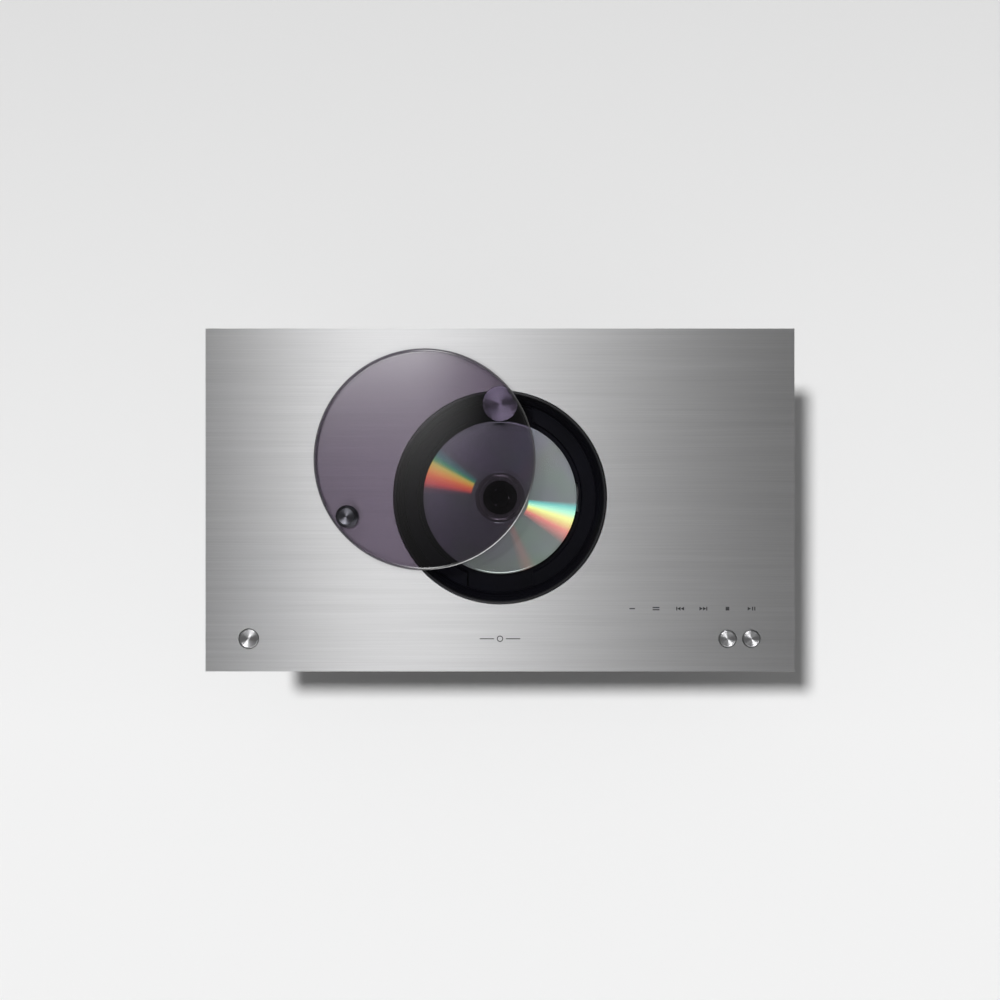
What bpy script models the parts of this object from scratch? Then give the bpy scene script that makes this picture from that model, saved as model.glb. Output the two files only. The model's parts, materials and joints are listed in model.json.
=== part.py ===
"""Compact music system with a top-loading disc player under a swivelling smoked lid.

The frame: the origin is on the surface it stands on, under the middle of the body.  +X points to the
listener's right, +Y to the rear and +Z up.  Every length below is in millimetres and becomes metres
in the few functions that make meshes.  The lid is modelled closed and turned open about its pivot.
"""

import math

import bmesh
import bpy

MM = 0.001

# Sides of a round piece, by its size
ROUND_LARGE = 64
ROUND_MEDIUM = 24
ROUND_SMALL = 20
ROUND_ROD = 12

# Whole object
WIDTH = 450.0
DEPTH = 262.0
HEIGHT = 143.0
REST_GAP = 0.1  # between faces that lie on each other
FIT_GAP = 0.3  # round a piece that sits inside another

# Lid, from the knob's top down to the deck
KNOB_TALL = 6.0
LID_THICK = 4.0
LID_GAP = 1.5
DECK_TOP = HEIGHT - KNOB_TALL - LID_THICK - LID_GAP
DECK_THICK = 7.0
DECK_UNDER = DECK_TOP - DECK_THICK
LID_UNDER = DECK_TOP + LID_GAP
LID_TOP = LID_UNDER + LID_THICK
LID_RADIUS = 84.5
LID_EDGE = 1.2
LID_OPEN_DEG = 53.5
PIVOT_ARM = 71.5
KNOB_ARM = 73.0
KNOB_BASE_RADIUS = 8.6
KNOB_TOP_RADIUS = 6.4

# Disc well, turned about the disc's axis
DISC_Y = 2.0
PIVOT_Y = DISC_Y + PIVOT_ARM
WELL_MOUTH = 81.8
DISC_RADIUS = 60.0
DISC_HOLE = 7.5
DISC_THICK = 1.2
DISC_TOP = DECK_TOP - 20.0
DISC_UNDER = DISC_TOP - DISC_THICK
LEDGE_TOP = DISC_TOP - 1.0
LEDGE_OUTER = 75.0
LEDGE_INNER = 64.5
RECESS_FLOOR = DISC_TOP - 4.5
RECESS_RADIUS = 63.5
WELL_UNDER = DISC_TOP - 7.0
WELL_WALL = 2.2
WELL_SIDES = 48
WELL_FLANGE = 91.0
HUB_OPENING = 16.5
FINGER_HALF_WIDTH = 25.8
FINGER_REACH = 74.4
SLOT_END = 61.6
SLOT_HALF_WIDTH = 11.0

# Lid pivot
SHAFT_RADIUS = 4.0
SHAFT_LOW = WELL_UNDER - 7.0
SLEEVE_RADIUS = 7.5
SLEEVE_FOOT_RADIUS = 11.0
HUB_PLATE_RADIUS = 13.5
HUB_PLATE_THICK = 1.0

# Turntable and pickup
PLATTER_RADIUS = 13.3
SPINDLE_BOSS = 7.2
MOTOR_RADIUS = 13.0
MOTOR_TOP = WELL_UNDER + 1.0
CHASSIS_TOP = 90.0
CHASSIS_THICK = 2.0
CHASSIS_LEFT = -46.0
CHASSIS_RIGHT = 72.0
CHASSIS_HALF_DEPTH = 46.0
ROD_RADIUS = 1.5
ROD_Z = 97.0
ROD_OFFSET = 20.0
ROD_START = 0.0
ROD_END = 67.5
SCREW_OFFSET = 31.0
LENS_REST = 23.0
SLED_HALF_LENGTH = 9.0
TURRET_HALF_WIDTH = 4.0

# Buttons and the touch strip
BUTTON_X = 192.0
BUTTON_Y = -106.0
BUTTON_PITCH = 18.2
POWER_RADIUS = 7.4
VOLUME_RADIUS = 6.5
BUTTON_PROUD = 0.8
TOUCH_Y = -83.0
TOUCH_X_LOW = 92.0

# Cabinet
CABINET_HALF_WIDTH = 218.0
CABINET_FRONT = -124.0
CABINET_BACK = 124.0
FRONT_CORNER = 32.0
REAR_CORNER = 40.0
SHELL_WALL = 4.0
GRILLE_WALL = 1.2
FOOT_TALL = 5.0
FOOT_RADIUS = 13.0
PLINTH_TOP = 11.0
PLINTH_HALF_WIDTH = 200.0
PLINTH_HALF_DEPTH = 108.0
FLOOR_UNDER = 26.0
FLOOR_TOP = 32.0
SPEAKER_Z = 78.0
BAFFLE_FRONT = -104.0
BAFFLE_THICK = 6.0
BAFFLE_HALF_WIDTH = 208.0
BAFFLE_NOTCH_X = 158.0
BAFFLE_NOTCH_Z = 107.0
WOOFER_X = 110.0
TWEETER_X = 178.0
PORT_X = 150.0
PORT_INNER = 14.5
PORT_DEEP = 84.0
WINDOW_HALF_WIDTH = 60.0
WINDOW_HALF_TALL = 15.0
BOARD_TOP = 49.8
BOARD_THICK = 1.6
JACK_HALF_WIDTH = 102.0
JACK_LOW = 44.0
JACK_HIGH = 100.0
JACK_THICK = 2.0
JACK_FACE = CABINET_BACK + REST_GAP + JACK_THICK

MATERIALS = {
    "brushed_aluminium": ((0.60, 0.60, 0.60), 0.30, 1.0),
    "spun_aluminium": ((0.80, 0.80, 0.80), 0.22, 1.0),
    "dark_aluminium": ((0.10, 0.10, 0.11), 0.30, 1.0),
    "smoked_acrylic": ((0.16, 0.14, 0.18), 0.05, 0.0),
    "black_abs": ((0.02, 0.02, 0.022), 0.45, 0.0),
    "black_gloss": ((0.01, 0.01, 0.012), 0.08, 0.0),
    "disc_silver": ((0.72, 0.75, 0.76), 0.15, 1.0),
    "painted_shell": ((0.42, 0.42, 0.43), 0.40, 0.6),
    "grille_steel": ((0.05, 0.05, 0.055), 0.50, 0.8),
    "rubber": ((0.02, 0.02, 0.02), 0.85, 0.0),
    "steel": ((0.55, 0.55, 0.56), 0.30, 1.0),
    "speaker_paper": ((0.06, 0.06, 0.065), 0.80, 0.0),
    "board_green": ((0.03, 0.14, 0.06), 0.50, 0.0),
    "copper": ((0.55, 0.28, 0.12), 0.35, 1.0),
    "mdf": ((0.05, 0.05, 0.05), 0.70, 0.0),
}


def clear_scene():
    for old in list(bpy.data.objects):
        bpy.data.objects.remove(old)


def make_materials():
    for name, (colour, roughness, metallic) in MATERIALS.items():
        made = bpy.data.materials.new(name)
        made.use_nodes = True
        shader = made.node_tree.nodes["Principled BSDF"]
        shader.inputs["Base Color"].default_value = (*colour, 1.0)
        shader.inputs["Roughness"].default_value = roughness
        shader.inputs["Metallic"].default_value = metallic


def to_object(name, mesh_data, finish, at=(0.0, 0.0, 0.0)):
    """An object from a bmesh in millimetres, placed at a point in millimetres."""
    bmesh.ops.scale(mesh_data, vec=(MM, MM, MM), verts=mesh_data.verts)
    bmesh.ops.recalc_face_normals(mesh_data, faces=mesh_data.faces)
    mesh = bpy.data.meshes.new(name)
    mesh_data.to_mesh(mesh)
    mesh_data.free()
    mesh.materials.append(bpy.data.materials[finish])
    mesh.shade_smooth()
    mesh.set_sharp_from_angle(angle=math.radians(35))
    made = bpy.data.objects.new(name, mesh)
    made.location = [value * MM for value in at]
    bpy.context.scene.collection.objects.link(made)
    return made


def turned(name, profile, finish, at=(0.0, 0.0, 0.0), segments=32, tilt=0.0):
    """A solid of revolution about local Z from a closed outline of (radius, height) points.

    A run of the outline that lies on the axis is left open, since the spin closes it.
    """
    work = bmesh.new()
    points = [work.verts.new((radius, 0.0, height)) for radius, height in profile]
    runs = []
    for here, there in zip(points, points[1:] + points[:1]):
        if here.co.x > 0.0 or there.co.x > 0.0:
            runs.append(work.edges.new((here, there)))
    bmesh.ops.spin(
        work, geom=points + runs, cent=(0, 0, 0), axis=(0, 0, 1),
        angle=math.tau, steps=segments, use_merge=True, use_duplicate=False,
    )
    bmesh.ops.remove_doubles(work, verts=work.verts, dist=1e-4)
    made = to_object(name, work, finish, at)
    made.rotation_euler.x = math.radians(tilt)
    return made


def slab(name, outline, low, high, finish, at=(0.0, 0.0, 0.0)):
    """An outline of (x, y) points extruded from low to high."""
    work = bmesh.new()
    face = work.faces.new([work.verts.new((x, y, low)) for x, y in outline])
    grown = bmesh.ops.extrude_face_region(work, geom=[face])
    risen = [item for item in grown["geom"] if isinstance(item, bmesh.types.BMVert)]
    bmesh.ops.translate(work, vec=(0.0, 0.0, high - low), verts=risen)
    return to_object(name, work, finish, at)


def block(name, low, high, finish):
    """A box between two corners, with its origin at its middle."""
    work = bmesh.new()
    bmesh.ops.create_cube(work, size=1.0)
    size = [high[i] - low[i] for i in range(3)]
    middle = [(high[i] + low[i]) / 2 for i in range(3)]
    bmesh.ops.scale(work, vec=size, verts=work.verts)
    return to_object(name, work, finish, middle)


def rod(name, radius, start, end, axis, finish, segments=16):
    """A plain round bar from start to end along X, Y or Z."""
    work = bmesh.new()
    length = math.dist(start, end)
    bmesh.ops.create_cone(
        work, cap_ends=True, segments=segments, radius1=radius, radius2=radius, depth=length,
    )
    middle = [(a + b) / 2 for a, b in zip(start, end)]
    made = to_object(name, work, finish, middle)
    made.rotation_euler = {
        "X": (0.0, math.pi / 2, 0.0), "Y": (math.pi / 2, 0.0, 0.0), "Z": (0.0, 0.0, 0.0),
    }[axis]
    return made


def helper(made):
    """Keeps a cutter or a joined shape out of the finished object."""
    made.hide_render = True
    made.display_type = "WIRE"
    return made


def boolean(target, other, operation):
    step = target.modifiers.new(other.name, "BOOLEAN")
    step.object = helper(other)
    step.operation = operation


def cut(target, *cutters):
    for cutter in cutters:
        boolean(target, cutter, "DIFFERENCE")


def join(target, *others):
    for other in others:
        boolean(target, other, "UNION")


def arc(centre, radius, start_deg, end_deg, steps):
    """Points along an arc, both ends included."""
    found = []
    for i in range(steps + 1):
        angle = math.radians(start_deg + (end_deg - start_deg) * i / steps)
        found.append((centre[0] + radius * math.cos(angle), centre[1] + radius * math.sin(angle)))
    return found


def rounded(half_width, front, back, front_radius, back_radius, steps=6):
    """A rectangle with rounded corners, counter-clockwise from the right front corner."""
    right = half_width - front_radius
    right_back = half_width - back_radius
    return (
        arc((right, front + front_radius), front_radius, -90, 0, steps)
        + arc((right_back, back - back_radius), back_radius, 0, 90, steps)
        + arc((-right_back, back - back_radius), back_radius, 90, 180, steps)
        + arc((-right, front + front_radius), front_radius, 180, 270, steps)
    )


def along(profile, deep=1.0, wide=1.0):
    """A driver's profile stretched to another size."""
    return [(radius * wide, height * deep) for radius, height in profile]


def make_deck():
    plate = block(
        "top_plate", (-WIDTH / 2, -DEPTH / 2, DECK_UNDER), (WIDTH / 2, DEPTH / 2, DECK_TOP),
        "brushed_aluminium",
    )
    edge = plate.modifiers.new("edge", "BEVEL")
    edge.width = 0.6 * MM
    edge.segments = 1
    low, high = DECK_UNDER - 2.0, DECK_TOP + 2.0
    mouth = rod(
        "mouth_cutter", WELL_MOUTH, (0, DISC_Y, low), (0, DISC_Y, high), "Z", "steel", ROUND_LARGE,
    )
    cut(plate, mouth)
    for name, x, radius in button_places():
        hole = rod(
            name + "_hole_cutter", radius + 0.35, (x, BUTTON_Y, low), (x, BUTTON_Y, high),
            "Z", "steel", ROUND_MEDIUM,
        )
        cut(plate, hole)


def button_places():
    return (
        ("power_button", -BUTTON_X, POWER_RADIUS),
        ("volume_down_button", BUTTON_X - BUTTON_PITCH, VOLUME_RADIUS),
        ("volume_up_button", BUTTON_X, VOLUME_RADIUS),
    )


def make_buttons():
    top = DECK_TOP + BUTTON_PROUD
    lip_top = DECK_UNDER - 1.5
    lip_low = lip_top - 1.5
    stem_low = lip_low - 4.5
    for name, x, radius in button_places():
        profile = [
            (0.0, top - 0.3), (radius - 1.0, top), (radius - 0.4, top), (radius, top - 0.5),
            (radius, lip_top), (radius + 1.4, lip_top), (radius + 1.4, lip_low),
            (2.0, lip_low), (2.0, stem_low), (0.0, stem_low),
        ]
        turned(name, profile, "spun_aluminium", (x, BUTTON_Y, 0.0), ROUND_SMALL)
    board_top = stem_low - 4.2
    block(
        "touch_board", (TOUCH_X_LOW, TOUCH_Y - 9.0, DECK_UNDER - REST_GAP - BOARD_THICK),
        (TOUCH_X_LOW + 109.0, TOUCH_Y + 9.0, DECK_UNDER - REST_GAP), "board_green",
    )
    for side, left, right, switches in (
        ("left", -BUTTON_X - 12.0, -BUTTON_X + 12.0, (-BUTTON_X,)),
        ("right", BUTTON_X - 30.0, BUTTON_X + 12.0, (BUTTON_X - BUTTON_PITCH, BUTTON_X)),
    ):
        board = block(
            "control_board_" + side, (left, BUTTON_Y - 7.0, board_top - BOARD_THICK),
            (right, BUTTON_Y + 9.0, board_top), "board_green",
        )
        for n, x in enumerate(switches):
            switch = block(
                f"switch_{side}_{n}", (x - 3.0, BUTTON_Y - 3.0, board_top - 0.8),
                (x + 3.0, BUTTON_Y + 3.0, board_top + 2.8), "steel",
            )
            join(board, switch)


def finger_pocket(name, sign):
    """A cutter for the hollow that lets a finger under the disc's edge, at the front or the rear."""
    half_angle = math.degrees(math.asin(FINGER_HALF_WIDTH / FINGER_REACH))
    outer = arc((0.0, 0.0), FINGER_REACH, 90 - half_angle, 90 + half_angle, 10)
    inner_y = DISC_RADIUS - 8.0
    outline = outer + [(-FINGER_HALF_WIDTH, inner_y), (FINGER_HALF_WIDTH, inner_y)]
    outline = [(x, sign * y) for x, y in outline]
    return slab(name, outline, RECESS_FLOOR, DISC_TOP + 2.0, "steel", (0.0, DISC_Y, 0.0))


def make_well():
    flange_top = DECK_UNDER - 0.2
    wall_top = WELL_MOUTH - 2.4
    profile = [
        (HUB_OPENING, RECESS_FLOOR), (RECESS_RADIUS, RECESS_FLOOR), (LEDGE_INNER, LEDGE_TOP),
        (LEDGE_OUTER, LEDGE_TOP), (wall_top, flange_top), (WELL_FLANGE, flange_top),
        (WELL_FLANGE, flange_top - 2.5), (wall_top + WELL_WALL, flange_top - 2.5),
        (LEDGE_OUTER + 1.5, WELL_UNDER), (HUB_OPENING, WELL_UNDER),
    ]
    well = turned("disc_well", profile, "black_abs", (0.0, DISC_Y, 0.0), WELL_SIDES)
    slot = block(
        "pickup_slot_cutter", (HUB_OPENING - 4.0, DISC_Y - SLOT_HALF_WIDTH, WELL_UNDER - 2.0),
        (SLOT_END, DISC_Y + SLOT_HALF_WIDTH, LEDGE_TOP + 2.0), "steel",
    )
    pivot_hole = rod(
        "pivot_hole_cutter", SLEEVE_RADIUS + FIT_GAP, (0, PIVOT_Y, WELL_UNDER - 2.0),
        (0, PIVOT_Y, DECK_UNDER - 1.5), "Z", "steel", ROUND_MEDIUM,
    )
    cut(well, slot, finger_pocket("front_finger_cutter", -1), finger_pocket("rear_finger_cutter", 1))
    cut(well, pivot_hole)
    ring_inner, ring_outer = WELL_MOUTH - 2.2, WELL_MOUTH - 0.3
    ring = [
        (ring_inner, DECK_UNDER + 0.1), (ring_outer, DECK_UNDER + 0.1),
        (ring_outer, DECK_TOP - 0.5), (ring_inner, DECK_TOP - 0.5),
    ]
    turned("well_trim_ring", ring, "black_gloss", (0.0, DISC_Y, 0.0), ROUND_LARGE)
    sleeve_top = DECK_TOP + 0.1
    bore = SHAFT_RADIUS + FIT_GAP
    foot_top = WELL_UNDER - REST_GAP
    sleeve = [
        (bore, sleeve_top), (SLEEVE_RADIUS, sleeve_top), (SLEEVE_RADIUS, foot_top),
        (SLEEVE_FOOT_RADIUS, foot_top), (SLEEVE_FOOT_RADIUS, foot_top - 3.0), (bore, foot_top - 3.0),
    ]
    turned("pivot_sleeve", sleeve, "black_abs", (0.0, PIVOT_Y, 0.0), ROUND_MEDIUM)


def make_lid():
    """The lid, its knob and its pivot, hung from an empty on the pivot axis that opens them."""
    pivot = bpy.data.objects.new("lid_pivot_axis", None)
    pivot.location = (0.0, PIVOT_Y * MM, 0.0)
    pivot.rotation_euler.z = -math.radians(LID_OPEN_DEG)
    bpy.context.scene.collection.objects.link(pivot)
    lid = turned(
        "disc_lid",
        [
            (0.0, LID_UNDER), (LID_RADIUS - 0.5, LID_UNDER), (LID_RADIUS, LID_UNDER + 0.5),
            (LID_RADIUS, LID_TOP - LID_EDGE), (LID_RADIUS - LID_EDGE, LID_TOP), (0.0, LID_TOP),
        ],
        "smoked_acrylic", (0.0, -PIVOT_ARM, 0.0), ROUND_LARGE,
    )
    base = LID_TOP + REST_GAP
    knob = turned(
        "finger_knob",
        [
            (0.0, base), (KNOB_BASE_RADIUS - 0.4, base), (KNOB_BASE_RADIUS, base + 0.5),
            (KNOB_BASE_RADIUS - 1.2, base + 2.2), (KNOB_TOP_RADIUS, HEIGHT - 0.5),
            (KNOB_TOP_RADIUS - 0.5, HEIGHT), (0.0, HEIGHT - 0.3),
        ],
        "dark_aluminium", (0.0, -PIVOT_ARM - KNOB_ARM, 0.0), ROUND_MEDIUM,
    )
    plate_top = LID_UNDER - REST_GAP
    plate_low = plate_top - HUB_PLATE_THICK
    clip_z = SHAFT_LOW + 1.5
    hub = turned(
        "lid_pivot_shaft",
        [
            (0.0, plate_top), (HUB_PLATE_RADIUS - 0.3, plate_top), (HUB_PLATE_RADIUS, plate_top - 0.3),
            (HUB_PLATE_RADIUS, plate_low), (SHAFT_RADIUS, plate_low), (SHAFT_RADIUS, clip_z + 1.0),
            (SHAFT_RADIUS + 2.6, clip_z + 1.0), (SHAFT_RADIUS + 2.6, clip_z),
            (SHAFT_RADIUS - 0.6, clip_z), (SHAFT_RADIUS - 0.6, SHAFT_LOW), (0.0, SHAFT_LOW),
        ],
        "spun_aluminium", segments=ROUND_MEDIUM,
    )
    for piece in (lid, knob, hub):
        piece.parent = pivot


def make_disc_drive():
    turned(
        "compact_disc",
        [
            (DISC_HOLE, DISC_UNDER), (DISC_RADIUS, DISC_UNDER),
            (DISC_RADIUS, DISC_TOP), (DISC_HOLE, DISC_TOP),
        ],
        "disc_silver", (0.0, DISC_Y, 0.0), ROUND_LARGE,
    )
    platter_top = DISC_UNDER - REST_GAP
    platter_low = platter_top - 1.7
    turned(
        "turntable_hub",
        [
            (0.0, DISC_TOP + 2.1), (SPINDLE_BOSS - 1.4, DISC_TOP + 2.1), (SPINDLE_BOSS, DISC_TOP + 0.4),
            (SPINDLE_BOSS, platter_top), (PLATTER_RADIUS, platter_top), (PLATTER_RADIUS, platter_low),
            (5.0, platter_low), (5.0, MOTOR_TOP + 0.5), (1.0, MOTOR_TOP + 0.5),
            (1.0, CHASSIS_TOP + 2.0), (0.0, CHASSIS_TOP + 2.0),
        ],
        "black_abs", (0.0, DISC_Y, 0.0), ROUND_MEDIUM,
    )
    motor_low = CHASSIS_TOP + REST_GAP
    turned(
        "spindle_motor",
        [
            (1.0 + FIT_GAP, motor_low), (MOTOR_RADIUS - 1.0, motor_low), (MOTOR_RADIUS, motor_low + 1.0),
            (MOTOR_RADIUS, MOTOR_TOP - 2.5), (MOTOR_RADIUS - 1.0, MOTOR_TOP - 1.5),
            (4.0, MOTOR_TOP - 1.5), (4.0, MOTOR_TOP), (1.0 + FIT_GAP, MOTOR_TOP),
        ],
        "steel", (0.0, DISC_Y, 0.0), ROUND_SMALL,
    )
    make_chassis()
    make_pickup()


def make_chassis():
    chassis = block(
        "drive_chassis", (CHASSIS_LEFT, DISC_Y - CHASSIS_HALF_DEPTH, CHASSIS_TOP - CHASSIS_THICK),
        (CHASSIS_RIGHT, DISC_Y + CHASSIS_HALF_DEPTH, CHASSIS_TOP), "steel",
    )
    high = ROD_Z + 4.0
    for n, y in enumerate((DISC_Y + ROD_OFFSET, DISC_Y - ROD_OFFSET)):
        for m, x in enumerate((ROD_START - 4.0, ROD_END)):
            post = block(
                f"rod_post_{n}_{m}", (x, y - 4.0, CHASSIS_TOP - 1.0), (x + 4.0, y + 4.0, high), "steel",
            )
            join(chassis, post)
    screw_y = DISC_Y - SCREW_OFFSET
    screw_post = block(
        "screw_post", (ROD_START - 4.0, screw_y - 4.0, CHASSIS_TOP - 1.0),
        (ROD_START, screw_y + 4.0, high), "steel",
    )
    join(chassis, screw_post)
    for name, y in (("guide_rod_rear", DISC_Y + ROD_OFFSET), ("guide_rod_front", DISC_Y - ROD_OFFSET)):
        rod(
            name, ROD_RADIUS, (ROD_START + REST_GAP, y, ROD_Z), (ROD_END - REST_GAP, y, ROD_Z),
            "X", "steel", ROUND_ROD,
        )
    motor_start = ROD_END + 0.6
    rod(
        "sled_motor", 6.0, (motor_start, screw_y, ROD_Z), (motor_start + 13.0, screw_y, ROD_Z),
        "X", "steel", ROUND_SMALL,
    )
    for name, x, y in (
        ("damper_left", -38.0, 0.0), ("damper_right_rear", 56.0, 38.0),
        ("damper_right_front", 56.0, -38.0),
    ):
        rod(
            name, 5.0, (x, DISC_Y + y, CHASSIS_TOP + REST_GAP), (x, DISC_Y + y, WELL_UNDER - REST_GAP),
            "Z", "rubber", ROUND_ROD,
        )


def make_pickup():
    """The laser sled on its two rods, with the lens turret in the well's slot, and its lead screw."""
    low, high = CHASSIS_TOP + 1.0, WELL_UNDER - 1.0
    left, right = LENS_REST - SLED_HALF_LENGTH, LENS_REST + SLED_HALF_LENGTH
    sled = block(
        "pickup_sled", (left, DISC_Y - 25.0, low), (right, DISC_Y + 25.0, high), "black_abs",
    )
    turret = block(
        "lens_turret", (LENS_REST - TURRET_HALF_WIDTH, DISC_Y - 9.0, high - 1.0),
        (LENS_REST + TURRET_HALF_WIDTH, DISC_Y + 9.0, RECESS_FLOOR + 0.8), "black_abs",
    )
    lens = rod(
        "lens_barrel", 3.4, (LENS_REST, DISC_Y, RECESS_FLOOR), (LENS_REST, DISC_Y, RECESS_FLOOR + 1.8),
        "Z", "steel", 20,
    )
    arm = block(
        "nut_arm", (LENS_REST - 6.0, DISC_Y - SCREW_OFFSET + ROD_RADIUS + 0.4, ROD_Z - 2.0),
        (LENS_REST + 6.0, DISC_Y - 24.0, ROD_Z + 2.0), "black_abs",
    )
    join(sled, turret, lens, arm)
    for n, y in enumerate((DISC_Y + ROD_OFFSET, DISC_Y - ROD_OFFSET)):
        bore = rod(
            f"sled_bore_{n}", ROD_RADIUS + FIT_GAP, (left - 2.0, y, ROD_Z), (right + 2.0, y, ROD_Z),
            "X", "steel", ROUND_ROD,
        )
        cut(sled, bore)
    screw_y = DISC_Y - SCREW_OFFSET
    rod(
        "lead_screw", ROD_RADIUS, (ROD_START + REST_GAP, screw_y, ROD_Z), (ROD_END + 0.3, screw_y, ROD_Z),
        "X", "steel", ROUND_ROD,
    )


FRAME_PROFILE = [
    (36.0, 0.6), (36.0, 3.0), (43.0, 3.0), (43.0, 0.1), (38.0, 0.1), (27.0, -17.0), (27.0, -44.0),
    (0.0, -44.0), (0.0, -28.5), (18.5, -27.0),
]
CONE_PROFILE = [
    (0.0, -11.0), (7.0, -12.0), (12.0, -15.0), (30.6, 2.0), (31.0, 0.8), (10.2, -18.4),
    (10.2, -25.0), (9.0, -25.0), (9.0, -16.6), (0.0, -12.4),
]
SURROUND_PROFILE = [
    (31.4, 1.0), (31.6, 3.2), (33.4, 5.0), (36.6, 3.9), (39.5, 3.9), (39.5, 3.1), (36.2, 3.1),
    (33.4, 4.0), (32.5, 1.0),
]
TWEETER_PROFILE = [
    (0.0, 4.2), (5.0, 3.6), (9.0, 1.6), (10.0, 1.4), (11.5, 2.6), (17.0, 3.0), (21.5, 2.4),
    (22.0, 0.1), (14.5, 0.1), (14.5, -16.0), (0.0, -16.0),
]


def make_driver(name, at, tilt, wide=1.0, deep=1.0):
    """A moving-coil driver facing local +Z: basket with magnet, half-roll surround, cone."""
    turned(name + "_frame", along(FRAME_PROFILE, deep, wide), "steel", at, ROUND_SMALL, tilt)
    turned(name + "_surround", along(SURROUND_PROFILE, deep, wide), "rubber", at, ROUND_SMALL, tilt)
    turned(name + "_cone", along(CONE_PROFILE, deep, wide), "speaker_paper", at, ROUND_SMALL, tilt)


def make_speakers():
    baffle = block(
        "front_baffle", (-BAFFLE_HALF_WIDTH, BAFFLE_FRONT, FLOOR_TOP + 0.2),
        (BAFFLE_HALF_WIDTH, BAFFLE_FRONT + BAFFLE_THICK, DECK_UNDER - 0.3), "mdf",
    )
    for side, sign in (("left", -1), ("right", 1)):
        near, far = sign * BAFFLE_NOTCH_X, sign * (BAFFLE_HALF_WIDTH + 3.0)
        notch = block(
            "baffle_notch_" + side, (min(near, far), BAFFLE_FRONT - 3.0, BAFFLE_NOTCH_Z),
            (max(near, far), BAFFLE_FRONT + BAFFLE_THICK + 3.0, DECK_TOP), "steel",
        )
        cut(baffle, notch)
        for kind, x, radius in (("woofer", WOOFER_X, 38.4), ("tweeter", TWEETER_X, 15.0)):
            hole = rod(
                f"{kind}_hole_{side}", radius, (sign * x, BAFFLE_FRONT - 3.0, SPEAKER_Z),
                (sign * x, BAFFLE_FRONT + BAFFLE_THICK + 3.0, SPEAKER_Z), "Y", "steel", 32,
            )
            cut(baffle, hole)
        make_driver("woofer_" + side, (sign * WOOFER_X, BAFFLE_FRONT, SPEAKER_Z), 90.0)
        turned(
            "tweeter_" + side, TWEETER_PROFILE, "black_abs",
            (sign * TWEETER_X, BAFFLE_FRONT, SPEAKER_Z), ROUND_SMALL, 90.0,
        )
        port = [
            (PORT_INNER, -PORT_DEEP), (PORT_INNER, -6.0), (PORT_INNER + 1.2, -2.0),
            (PORT_INNER + 4.0, 1.4), (PORT_INNER + 6.5, 1.4), (PORT_INNER + 6.5, 0.1),
            (PORT_INNER + 3.4, 0.1), (PORT_INNER + 2.0, -6.0), (PORT_INNER + 2.0, -PORT_DEEP),
        ]
        turned(
            "port_tube_" + side, port, "black_abs", (sign * PORT_X, CABINET_BACK, SPEAKER_Z),
            ROUND_MEDIUM, -90.0,
        )
    make_driver("subwoofer", (0.0, DISC_Y, FLOOR_UNDER), 180.0, 1.3, 1.05)


def make_cabinet():
    outer = rounded(CABINET_HALF_WIDTH, CABINET_FRONT, CABINET_BACK, FRONT_CORNER, REAR_CORNER)
    floor = slab("bottom_panel", outer, FLOOR_UNDER, FLOOR_TOP, "painted_shell")
    sub_hole = rod(
        "sub_hole_cutter", 50.0, (0, DISC_Y, FLOOR_UNDER - 3.0), (0, DISC_Y, FLOOR_TOP + 3.0),
        "Z", "steel", 48,
    )
    cut(floor, sub_hole)
    make_shell()
    make_grille()
    make_plinth()


def make_shell():
    """The wrapped side and back wall, open to the front where the grille closes it."""
    start = CABINET_FRONT + FRONT_CORNER + 0.2
    wide, back = CABINET_HALF_WIDTH, CABINET_BACK
    corner = (wide - REAR_CORNER, back - REAR_CORNER)
    inner_radius = REAR_CORNER - SHELL_WALL
    outside = [(wide, start)] + arc(corner, REAR_CORNER, 0, 90, 8)
    outside += arc((-corner[0], corner[1]), REAR_CORNER, 90, 180, 8) + [(-wide, start)]
    inside = [(-wide + SHELL_WALL, start)] + arc((-corner[0], corner[1]), inner_radius, 180, 90, 8)
    inside += arc(corner, inner_radius, 90, 0, 8) + [(wide - SHELL_WALL, start)]
    shell = slab(
        "cabinet_shell", outside + inside, FLOOR_TOP + REST_GAP, DECK_UNDER - 0.3, "painted_shell",
    )
    jack_opening = block(
        "jack_opening_cutter", (-JACK_HALF_WIDTH + 4.0, back - 12.0, JACK_LOW + 4.0),
        (JACK_HALF_WIDTH - 4.0, back + 6.0, JACK_HIGH - 4.0), "steel",
    )
    cut(shell, jack_opening)
    for side, sign in (("left", -1), ("right", 1)):
        mouth = rod(
            "port_mouth_cutter_" + side, PORT_INNER + 3.7, (sign * PORT_X, back - 9.0, SPEAKER_Z),
            (sign * PORT_X, back + 5.0, SPEAKER_Z), "Y", "steel", 32,
        )
        cut(shell, mouth)


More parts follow.
